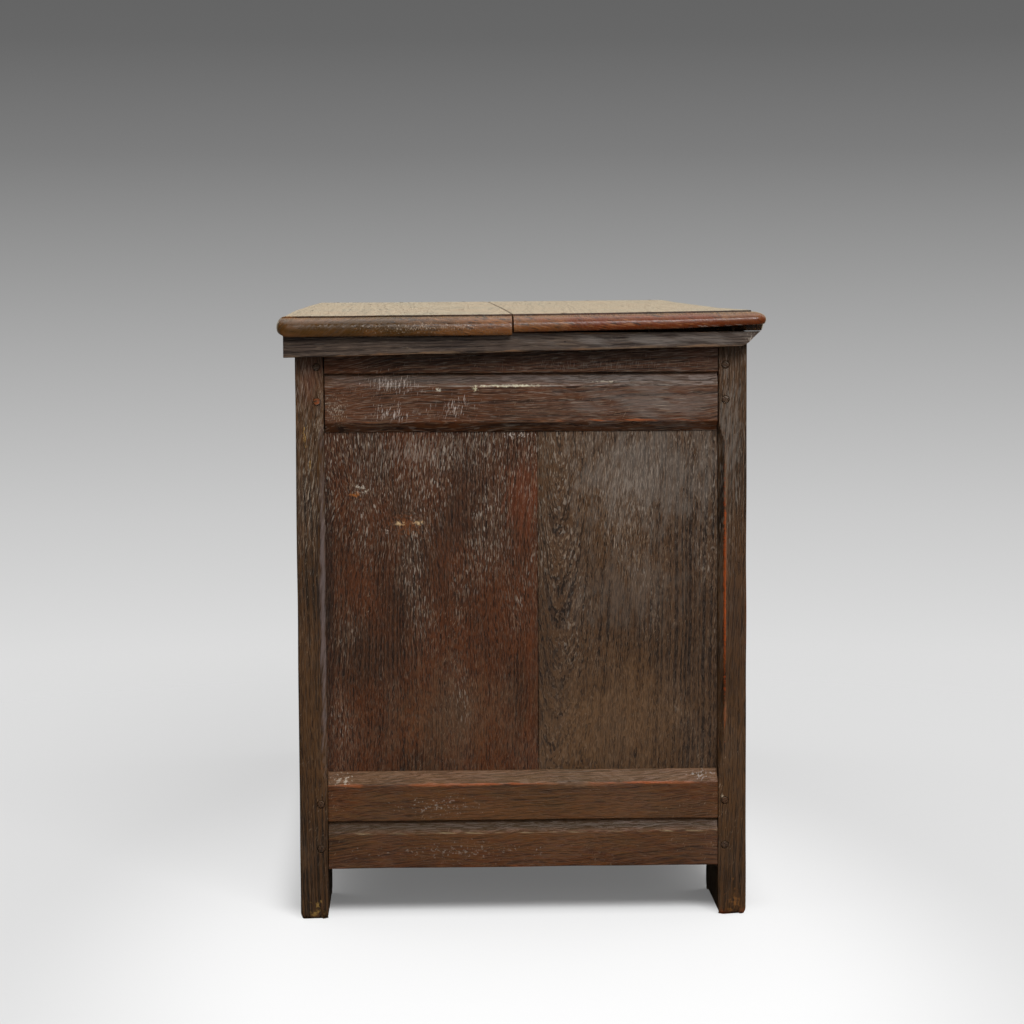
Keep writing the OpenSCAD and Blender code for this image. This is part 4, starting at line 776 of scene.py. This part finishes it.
PLAIN_TOP_RAIL, PLAIN_LOW_RAIL = (
    ([[0, 0], [RAIL_T, 0], [RAIL_T, h], [0, h]], [1.4, 0.8, 0.8, 1.4], [0.5, 0.3, 0.3, 0.6], z0, tenon)
    for h, z0, tenon in ((TOP_RAIL_H, OPEN_Z1, TOP_TENON), (BOTTOM_RAIL_H, FOOT_H, LOW_TENON)))


def bore(place):
    """A cutter for the mouth of a peg hole."""
    r = PEG_R + 0.5 * MM
    return turned([(r, -2 * MM), (r, 12 * MM)], 20, place)


def new_seed():
    """The next random seed."""
    return int(rng.integers(1e6))


def peg(place):
    """A riven peg: seven rough facets and an end pared to a low crown. Height runs out of the wood, and
    each peg stands a little differently."""
    r, proud = PEG_R, rng.uniform(-0.4, 0.7) * MM
    rows = [(r * 0.9, -28 * MM), (r, -25 * MM), (r, -1.5 * MM), (r, proud - 0.6 * MM),
            (r * 0.9, proud - 0.15 * MM), (r * 0.6, proud), (r * 0.05, proud + 0.05 * MM)]
    return turned(rows, 21, place, 0.1, new_seed())


rng = np.random.default_rng(11)
for end, side, name, run in ((-1, 1, "back_left", 0.03), (-1, -1, "front_left", 0.095),
                             (1, 1, "back_right", 0.04), (1, -1, "front_right", 0.05)):
    cutters = [bore(standing(end * HALF_L, side * END_PEG_Y, z, "x", -end)) for z in PEG_ZS]
    cutters += [bore(standing(end * LONG_PEG_X, side * HALF_D, z, "y", -side)) for z in PEG_ZS]
    seed = 20 + 3 * end + side
    build(name + "_post", stile_parts(end, side, run, seed), "carcass",
          back_stile_oak if side > 0 else front_stile_oak, [name + "_stile"], cutters, (0.5 * MM, 0.09, seed))

for end, name in ENDS:
    def on_end(a, b, s, e=end):
        return e * (RAIL_X - a), s, b
    top_shrunk = (0.7 * MM, 0.9 * MM) if end < 0 else (0.2 * MM, 0.4 * MM)
    for rail, part, node, shrunk, seed in (
            (TOP_RAIL, "_top_bar", "_top_rail", top_shrunk, 31 + end),
            (LOW_RAIL, "_low_bar", "_bottom_rail", (0.2 * MM, 0.3 * MM), 35 + end)):
        build(name + part, rail_parts(*rail, STILE_IN_Y, on_end, END_TENON, shrunk), "carcass",
              end_rail_oak, [name + node], (), (0.5 * MM, 0.1, seed))


def muntin_bores(side):
    """Cutters for the mouths of the peg holes of the muntins of one side."""
    return [bore(standing(x * MUNTIN_X, side * RAIL_Y, z, "y", -side)) for x in (-1, 1) for z in MUNTIN_PEG_ZS]


def keyhole_cutter():
    """The keyhole's outline, a circle that is open below over a slot, carried through the rail."""
    angle = np.linspace(math.radians(-56), math.radians(236), 22)
    outline = np.stack([KEYHOLE_R * np.cos(angle), KEYHOLE_R * np.sin(angle)], axis=-1)
    slot = np.array([[-KEYSLOT_W / 2, -KEYSLOT_L], [KEYSLOT_W / 2, -KEYSLOT_L]])
    outline = np.concatenate([outline, slot])
    y = np.array([-RAIL_Y - 3 * MM, -RAIL_Y + RAIL_T + 3 * MM])
    ring = np.stack(np.broadcast_arrays(outline[:, 0], y[:, None], outline[:, 1] + KEYHOLE_Z), axis=-1)
    return tube(ring, np.zeros(ring.shape[:2]))


for side, name in SIDES:
    def on_side(a, b, s, d=side):
        return s, d * (RAIL_Y - a), b
    moulded = side < 0
    bores = muntin_bores(side)
    keyhole = [keyhole_cutter()] if moulded else []
    top, low = (TOP_RAIL, LOW_RAIL) if moulded else (PLAIN_TOP_RAIL, PLAIN_LOW_RAIL)
    for rail, part, node, cutters, seed in (
            (top, "_top_bar", "_top_rail", bores[1::2] + keyhole, 41 + side),
            (low, "_low_bar", "_bottom_rail", bores[::2], 45 + side)):
        build(name + part, rail_parts(*rail, STILE_IN_X, on_side, LONG_TENON), "carcass",
              long_rail_oak, [name + node], cutters, (0.5 * MM, 0.1, seed))


def muntin_parts(x, side):
    """An upright whose ends fit over the rails' bevels: its length grows towards its face."""
    moulded = side < 0
    v = stations(1.0, 0.02, 0.002, 0.002)
    c = chamfer_leg(OPEN_Z0 + v * (OPEN_Z1 - OPEN_Z0)) if moulded else np.full(len(v), ARRIS)
    w = MUNTIN_W / 2
    corners = sections(len(v), (-w + c, 0), (w - c, 0), (w, c), (w, RAIL_T), (-w, RAIL_T), (-w, c))
    ease_c = chamfer_ease(c)
    ease = sections(len(v), (ease_c, ease_c, ease_c, 0.8 * MM, 0.8 * MM, ease_c))[:, 0]
    low, high = (LOW_BEVEL_H, TOP_BEVEL_H) if moulded else (0, 0)

    def place(a, b, s):
        out = 1 - np.clip(b / BEVEL_D, 0, 1)
        z0, z1 = OPEN_Z0 - low * out, OPEN_Z1 + high * out
        return x + a, side * (RAIL_Y - b), z0 + s * (z1 - z0)
    return [timber(corners, ease, v, (0.0005, 0.0005), place)]


def board_parts(width0, width1, out, side, z0, z1, on_end):
    """A panel board: a thin rectangle carried up; side says which way its face looks."""
    z = stations(z1 - z0, 12 * MM, 0.8 * MM, 0.8 * MM) + z0
    section = np.array([[width0, 0], [width1, 0], [width1, PANEL_T], [width0, PANEL_T]])
    corners = np.broadcast_to(section, (len(z), 4, 2))

    def place(a, b, s):
        face = side * (out - b)
        return (face, a, s) if on_end else (a, face, s)
    return [timber(corners, np.full((len(z), 4), 0.2 * MM), z, (0.3 * MM, 0.3 * MM), place, middle=24)]


for side, name in SIDES:
    for x, part in ((-1, "left"), (1, "right")):
        build(name + "_" + part + "_upright", muntin_parts(x * MUNTIN_X, side), "carcass",
              front_stile_oak if side < 0 else back_stile_oak, [name + "_" + part + "_muntin"], (),
              (0.4 * MM, 0.1, 51 + side + x))
    for part in ("left", "middle", "right"):
        lo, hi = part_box(name + "_" + part + "_panel")
        build(name + "_" + part + "_field", board_parts(lo[0], hi[0], PANEL_Y, side, lo[2], hi[2], False),
              "carcass", long_panel_oak, [name + "_" + part + "_panel"], (),
              (0.8 * MM, 0.11, 61 + len(part)))
for end, name in ENDS:
    for part, look in (("back", red_panel_oak), ("front", grey_panel_oak)):
        node = name + "_panel_" + part + "_board"
        lo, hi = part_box(node)
        # The joint is tight: each board reaches 0.3 mm into the other
        y0, y1 = (lo[1] - 0.3 * MM, hi[1]) if part == "back" else (lo[1], hi[1] + 0.3 * MM)
        build(name + "_" + part + "_field", board_parts(y0, y1, PANEL_X, end, lo[2], hi[2], True), "carcass",
              look, [node], (), (0.8 * MM, 0.11, 71 + len(part) + end))

# Pegs
for end, name in ENDS:
    parts = [peg(standing(end * HALF_L, s * END_PEG_Y, z, "x", end)) for s in (-1, 1) for z in PEG_ZS]
    build(name + "_riven_pegs", parts, "carcass", peg_oak, [name + "_pegs"])
for side, name in SIDES:
    spots = [(s * LONG_PEG_X, z, HALF_D) for s in (-1, 1) for z in PEG_ZS]
    spots += [(s * MUNTIN_X, z, RAIL_Y) for s in (-1, 1) for z in MUNTIN_PEG_ZS]
    parts = [peg(standing(x, side * y, z, "y", side)) for x, z, y in spots]
    build(name + "_riven_pegs", parts, "carcass", long_peg_oak, [name + "_pegs"])


# The lid
def edge_in(kind):
    """The edge of the lid in section: distances in from the nose, with the heights of the upper and
    the lower face there. Each is a quarter ellipse from the nose; a thumb moulding ends in a step."""
    a = np.linspace(0, math.pi / 2, 7)
    if kind == "joint":
        r = 0.8 * MM
        d = np.concatenate([[0], r * (1 - np.cos(a))])
        over = np.concatenate([[NOSE_H], LID_T - r + r * np.sin(a)])
        under = np.concatenate([[NOSE_H], r * (1 - np.sin(a))])
        return d, over, under
    wide, tall = (THUMB_W, LID_T - THUMB_STEP - NOSE_H) if kind == "thumb" else (BULL_W, LID_T - NOSE_H)
    below = UNDER_W if kind == "thumb" else BACK_UNDER_W
    d = np.unique(np.concatenate([wide * (1 - np.cos(a)), below * (1 - np.cos(a))]).round(7))
    over = NOSE_H + tall * np.sqrt(1 - (1 - np.minimum(d / wide, 1)) ** 2)
    under = NOSE_H * (1 - np.sqrt(1 - (1 - np.minimum(d / below, 1)) ** 2))
    if kind == "thumb":
        d = np.concatenate([d, [wide + 0.05 * MM, wide + 0.7 * MM]])
        over = np.concatenate([over, [LID_T - 0.4 * MM, LID_T]])
        under = np.concatenate([under, [0, 0]])
    return d, over, under


def across_lid(lo, hi, edge_lo, edge_hi, step):
    """Places from lo to hi, close together in the two edges, with the upper and lower heights there."""
    inner = np.linspace(lo + edge_lo[0][-1], hi - edge_hi[0][-1], max(4, int((hi - lo) / step)))[1:-1]
    at = np.concatenate([lo + edge_lo[0], inner, hi - edge_hi[0][::-1]])
    over, under = (np.concatenate([edge_lo[k], np.full(len(inner), edge_lo[k][-1]), edge_hi[k][::-1]])
                   for k in (1, 2))
    return at, over, under


def smooth(x, a, b):
    """0 before a, 1 after b, with a smooth turn between."""
    t = np.clip((x - a) / (b - a), 0, 1)
    return t * t * (3 - 2 * t)


def lid_top(x, y):
    """Level of the lid's top: flat in the middle, and warped up towards the front at its left end, by the
    levels measured there. The right end has less of it."""
    end_level = np.interp(y, [-0.295, -0.2, -0.047, 0.0135, 0.132, 0.30],
                          [0.7937, 0.7925, 0.7909, 0.7903, 0.7896, 0.7887])
    left = 1 - smooth(x, -0.69, -0.25)
    right = smooth(x, 0.3, 0.69)
    return LID_MIDDLE_TOP + (end_level - LID_MIDDLE_TOP) * (left + 0.4 * right)


def lid_underside(x, y):
    """Level of the lid's underside: flat over the frame and the cleats. Past them the back board sags
    and the end of the front board is thinner."""
    left = np.where(y > 0.012, np.interp(y, [0.013, 0.30], [0.7630, 0.7622]),
                    np.interp(y, [-0.31, -0.2, 0.0], [0.7755, 0.7705, 0.7668]))
    level = np.where(x < 0, left, LID_Z + 0.4 * (left - LID_Z))
    painted_lift, sag = np.maximum(level - LID_Z, 0), np.minimum(level - LID_Z, 0)
    out = np.abs(x)
    return LID_Z + painted_lift * smooth(out, 0.6596, 0.6640) + sag * smooth(out, 0.6862, 0.6885)


def round_corners(x, y):
    """Bends the square corners of a plan round: a corner's squares max(u, v) = k become the arcs
    hypot(u, v) = k."""
    u = np.clip(1 - (LID_HALF_L - np.abs(x)) / LID_CORNER, 0, 1)
    v = np.clip(1 - (LID_HALF_D - np.abs(y)) / LID_CORNER, 0, 1)
    bend = np.where((u > 0) & (v > 0), np.maximum(u, v) / np.maximum(np.hypot(u, v), 1e-9), 1.0) - 1
    return x + np.sign(x) * LID_CORNER * u * bend, y + np.sign(y) * LID_CORNER * v * bend


def lid_board(y0, y1, edge_lo, edge_hi):
    """A board of the lid as two height fields over one grid: above, the lower of the heights that the
    edges along and across give, and below, the higher of them. They meet at the nose."""
    end = edge_in("thumb")
    x, over_x, under_x = across_lid(-LID_HALF_L, LID_HALF_L, end, end, 14 * MM)
    y, over_y, under_y = across_lid(y0, y1, edge_in(edge_lo), edge_in(edge_hi), 10 * MM)
    x, y = np.meshgrid(x, y, indexing="ij")
    out = np.minimum(LID_HALF_L - np.abs(x), np.minimum(y + LID_HALF_D, LID_HALF_D - y))
    x, y = round_corners(x, y)
    top, bottom = lid_top(x, y), lid_underside(x, y)
    # At the thumb's step the value falls below zero, where the oak paints shade in the corner
    rub = np.where(np.abs(out - THUMB_W) < 1.8 * MM, -0.7, np.maximum(0.8 - np.abs(out - 4 * MM) / (9 * MM), 0))
    points, faces, worn = [], [], []
    for k, h in enumerate((np.minimum(over_x[:, None], over_y), np.maximum(under_x[:, None], under_y))):
        index = np.arange(x.size).reshape(x.shape) + k * x.size
        faces += np.stack([index[:-1, :-1], index[1:, :-1], index[1:, 1:], index[:-1, 1:]],
                          axis=-1).reshape(-1, 4).tolist()
        points.append(np.stack([x, y, bottom + h / LID_T * (top - bottom)], axis=-1).reshape(-1, 3))
        worn.append(rub.ravel() * (k == 0))
    return np.concatenate(points), faces, np.concatenate(worn)


def strap_bed(x):
    """A cutter for the bed of one hinge strap in the lid's underside: parallel, then narrowing to a
    point."""
    w, tip = STRAP_W / 2 + KNUCKLE_GAP, HINGE_Y - STRAP_L - KNUCKLE_GAP
    half = [[-w, LEAF_Y + 0.03], [-w, LEAF_Y - STRAP_W], [-w * STRAP_TAPER, tip + STRAP_POINT]]
    plan = np.array(half + [[0, tip]] + [[-a, b] for a, b in half[::-1]])
    z = np.array([LID_Z - 0.006, LID_Z + STRAP_T + KNUCKLE_GAP])[:, None]
    ring = np.stack(np.broadcast_arrays(plan[None, :, 0] + x, plan[None, :, 1], z), axis=-1)
    return tube(ring, np.zeros(ring.shape[:2]))


beds = [strap_bed(-HINGE_X), strap_bed(HINGE_X)]
build("lid_back_plank", [lid_board(LID_JOINTS[1], LID_HALF_D, "joint", "bull")], "lid", lid_oak,
      ["lid_back_board"], beds, (0.4 * MM, 0.12, 81))
build("lid_front_plank", [lid_board(-LID_HALF_D, LID_JOINTS[0], "thumb", "joint")], "lid", lid_oak,
      ["lid_front_board"], beds, (0.4 * MM, 0.12, 82))


def cleat_parts(end):
    """A cleat: a rectangle carried from front to back. Its underside falls towards the back, and its
    front end is cut back at a slant."""
    y = stations(2 * CLEAT_Y, 7 * MM, 0.4 * MM, 1.2 * MM) - CLEAT_Y
    from_front = y + CLEAT_Y
    low = np.interp(from_front, [0, CLEAT_CUT, CLEAT_CUT + CLEAT_ROUND, 2 * CLEAT_Y],
                    [LID_Z, LID_Z - CLEAT_CUT, CLEAT_FRONT_Z, CLEAT_BACK_Z])
    wander = waves(np.stack([y, y * 0, y * 0], axis=-1), 0.07, 91 + end)
    low = np.minimum(low, LID_Z - 0.8 * MM) + 0.5 * MM * np.maximum(wander, 0)
    corners = sections(len(y), (0, low), (CLEAT_T, low), (CLEAT_T, LID_Z), (0, LID_Z))
    ease = np.minimum(np.array([0.8, 1.6, 0.8, 0.6]) * MM, 0.25 * (LID_Z - low)[:, None])
    return [timber(corners, ease, y, (0.4 * MM, 1.2 * MM),
                   lambda a, b, s: (end * (CLEAT_X + a), s, b), middle=2)]


for end, name in ((-1, "left"), (1, "right")):
    build(name + "_lid_batten", cleat_parts(end), "lid", cleat_oak, [name + "_lid_cleat"], (),
          (0.4 * MM, 0.05, 95 + end))


# Iron work
def rose_nail(shank_r, length, place, head_r=4.5 * MM):
    """A forged nail: a shank below and a head hammered to facets. Height runs out of the wood."""
    head_h = 1.5 * MM
    rows = [(shank_r * 0.5, -length), (shank_r, -length + 2 * MM), (shank_r, -0.1 * MM), (head_r, 0),
            (head_r * 0.95, head_h * 0.3), (head_r * 0.5, head_h * 0.85), (head_r * 0.06, head_h)]
    return turned(rows, 9, place, 0.12, new_seed())


def flush_nail(head_r, length, x, y):
    """A nail whose head is let into the lid's top, or the clenched end of one: a low disc over its shank."""
    rows = [(NAIL_R, -length), (NAIL_R, -1.6 * MM), (head_r, -1.5 * MM), (head_r, 0), (head_r * 0.8, 0.25 * MM),
            (head_r * 0.1, 0.3 * MM)]
    return turned(rows, 14, standing(x, y, lid_top(x, y) - 0.2 * MM, "z"), 0.1, new_seed())


cleat_nails = [flush_nail(CLEAT_HEAD_R, CLEAT_NAIL_L, x, y)
               for x in (-CLEAT_NAIL_X, CLEAT_NAIL_X) for y in CLEAT_NAIL_YS]
lid_nails = []
for x in (-HINGE_X, HINGE_X):
    for step in LID_NAILS_S:
        y = HINGE_Y - step
        length = float(lid_top(x, y)) - LID_Z
        # The first one stands over the back rail, where a head has no room
        if step != LID_NAILS_S[0]:
            lid_nails.append(rose_nail(NAIL_R, length - 4 * MM, standing(x, y, LID_Z, "z", -1)))
        lid_nails.append(flush_nail(CLENCH_R, length - 1 * MM, x, y))
back_nails = [rose_nail(NAIL_R, BACK_NAIL_L, standing(x, LEAF_Y + STRAP_T, z, "y"))
              for x in (-HINGE_X, HINGE_X) for z in BACK_NAIL_ZS]
lock_nails = [rose_nail(LOCK_NAIL_R, PLATE_NAIL_L, standing(x, -RAIL_Y - PLATE_T, z, "y", -1), LOCK_HEAD_R)
              for x in (-PLATE_NAIL_X, PLATE_NAIL_X) for z in PLATE_NAIL_ZS]
lock_nails += [rose_nail(LOCK_NAIL_R, CASE_NAIL_L, standing(x, -CASE_NAIL_Y, z, "y"), LOCK_HEAD_R)
               for x in (-CASE_NAIL_X, CASE_NAIL_X) for z in CASE_NAIL_ZS]
for name, nails, body in (("cleat_nail", cleat_nails, "lid"), ("lid_strap_nail", lid_nails, "lid"),
                          ("back_strap_nail", back_nails, "carcass"), ("lock_nail", lock_nails, "carcass")):
    build(name + "_set", nails, body, black_iron, [name + "s"], sharp=30)

for node in ("left_hinge_lid_strap", "right_hinge_lid_strap", "left_hinge_back_strap", "right_hinge_back_strap",
             "left_hinge_pin", "right_hinge_pin", "lock_plate", "lock_case", "lock_staple"):
    eased_copy(node, 0.45 * MM, black_iron)
eased_copy("staple_nails", 0.3 * MM, black_iron)
eased_copy("lock_bolt", 0.4 * MM, bolt_iron)

# Boards inside
for number in range(1, 7):
    eased_copy("bottom_board_%d" % number, 0.7 * MM, dry_oak)
for node in ("till_floor", "till_side", "till_lid"):
    eased_copy(node, 0.9 * MM, dry_oak)


# Floor, light and camera
def studio():
    """A pale floor that gives way to the backdrop further off, and soft lamps."""
    half = 14.0
    mesh = bpy.data.meshes.new("floor")
    corners = [(-half, -half, 0), (half, -half, 0), (half, half, 0), (-half, half, 0)]
    mesh.from_pydata(corners, [], [(0, 1, 2, 3)])
    floor = new_object("floor", mesh)
    material, put = new_tree("pale studio floor")
    place = put("TexCoord").outputs["Object"]
    away = put("VectorMath LENGTH", place)
    gone = put("MapRange SMOOTHSTEP", away, 1.1, 2.4)
    ray = put("LightPath")
    # A painted pool of light: the floor is palest in an oval round the left end
    light_pool = put("VectorMath MULTIPLY", put("VectorMath SUBTRACT", place, (-0.9, 0, 0)), (1 / 1.6, 1 / 0.65, 0))
    light_pool = put("VectorMath LENGTH", light_pool)
    light_pool = put("MapRange SMOOTHSTEP", light_pool, 0.45, 1.05)
    lit = put("MixRGB", light_pool, "#f6f6f6", "#dedede")
    # Beside the coffer the floor is lifted by painted light, a glow that only the camera sees, so that only the
    # shadow under it and close to it is deep
    beside = put("VectorMath SUBTRACT", put("VectorMath ABSOLUTE", place), (HALF_L - 0.09, HALF_D - 0.03, 0))
    beside = put("VectorMath LENGTH", put("VectorMath MAXIMUM", beside, (0, 0, 0)))
    beside = put("MapRange SMOOTHSTEP", beside, 0.0, 0.09)
    share = put("MixRGB", beside, "#d2d2d2", "#7e7e7e")
    shade = put("MixRGB", ray.outputs["Is Camera Ray"], "#9c9c9c", put("VectorMath MULTIPLY", lit, share))
    shade = put("MixRGB", ray.outputs["Is Glossy Ray"], shade, "#3a3a3a")
    pale = put("BsdfDiffuse", Color=shade)
    painted_lift = put("VectorMath MULTIPLY", lit, put("MixRGB", beside, "#6a6a6a", "#e2e2e2"))
    painted_lift = put("MixRGB", ray.outputs["Is Camera Ray"], "#000000", painted_lift)
    pale = put("AddShader", pale, put("Emission", Color=painted_lift))
    put("OutputMaterial", Surface=put("MixShader", gone, pale, put("BsdfTransparent")))
    mesh.materials.append(material)

    world = bpy.data.worlds.new("studio")
    world.use_nodes = True
    bpy.context.scene.world = world
    world.node_tree.nodes.clear()
    put = functools.partial(add, world.node_tree)
    ray = put("LightPath")
    up = put("SeparateXYZ", put("TexCoord").outputs["Generated"]).outputs["Z"]
    level = put("MapRange", up, -0.3, 0.2)
    backdrop = put("ValToRGB", level,
                   stops=[(0.0, "#ebebeb"), (0.23, "#e6e6e6"), (0.333, "#dddddd"), (0.429, "#cacaca"),
                          (0.508, "#b5b5b5"), (0.6, "#999999"), (0.681, "#7c7c7c"), (0.759, "#676767"),
                          (1.0, "#4a4a4a")])
    # Seen in a gloss, the studio is dim behind the camera and pale beyond the coffer
    beyond = put("SeparateXYZ", put("TexCoord").outputs["Generated"]).outputs["X"]
    mirrored = put("MixRGB", put("MapRange", beyond, 0.3, 0.9), "#303030", "#fff6da")
    around = put("MixRGB", put("MapRange", up, -0.05, 0.1), "#505050", "#949494")
    colour = put("MixRGB", ray.outputs["Is Camera Ray"], around, backdrop)
    colour = put("MixRGB", ray.outputs["Is Glossy Ray"], colour, mirrored)
    put("OutputWorld", Surface=put("Background", colour))

    for name, spot, aim, side, power in (
            ("overhead lamp", (0.0, 0.0, 3.4), (0.0, 0.0, 0.0), 3.0, 60),
            ("key lamp", (-3.55, -0.9, 3.05), (-0.6, 0.0, 0.4), 1.7, 155),
            ("fill lamp", (-5.0, -1.0, 1.4), (-0.6, 0.0, 0.4), 2.0, 25),
            ("front lamp", (1.0, -3.0, 3.2), (0.0, 0.0, 0.4), 2.8, 35),
            ("back lamp", (1.4, 3.0, 3.2), (0.0, 0.0, 0.4), 2.8, 35)):
        lamp = bpy.data.lights.new(name, "AREA")
        lamp.energy, lamp.shape, lamp.size = power, "SQUARE", side
        body = new_object(name, lamp)
        body.location = spot
        body.rotation_euler = (Vector(aim) - Vector(spot)).to_track_quat("-Z", "Y").to_euler()
        body.visible_camera = False


def camera():
    """The photograph's view: from the left end, a little above the lid. Its numbers come from a fit to
    the edges of the end and the lid."""
    yaw, pitch, roll = (math.radians(a) for a in (1.811, 4.871, -0.274))
    ahead = Vector((math.cos(pitch) * math.cos(yaw), -math.cos(pitch) * math.sin(yaw), -math.sin(pitch)))
    right = ahead.cross(Vector((0, 0, 1))).normalized()
    up = right.cross(ahead)
    right, up = (math.cos(roll) * right + math.sin(roll) * up, math.cos(roll) * up - math.sin(roll) * right)
    data = bpy.data.cameras.new("camera")
    data.lens, data.sensor_width = 100.37, 36.0
    body = new_object("camera", data)
    body.matrix_world = Matrix.Translation((-4.3464, 0.1297, 0.848)) @ Matrix(
        (right, up, -ahead)).transposed().to_4x4()
    bpy.context.scene.camera = body


studio()
camera()
bpy.context.scene.view_settings.view_transform = "Standard"
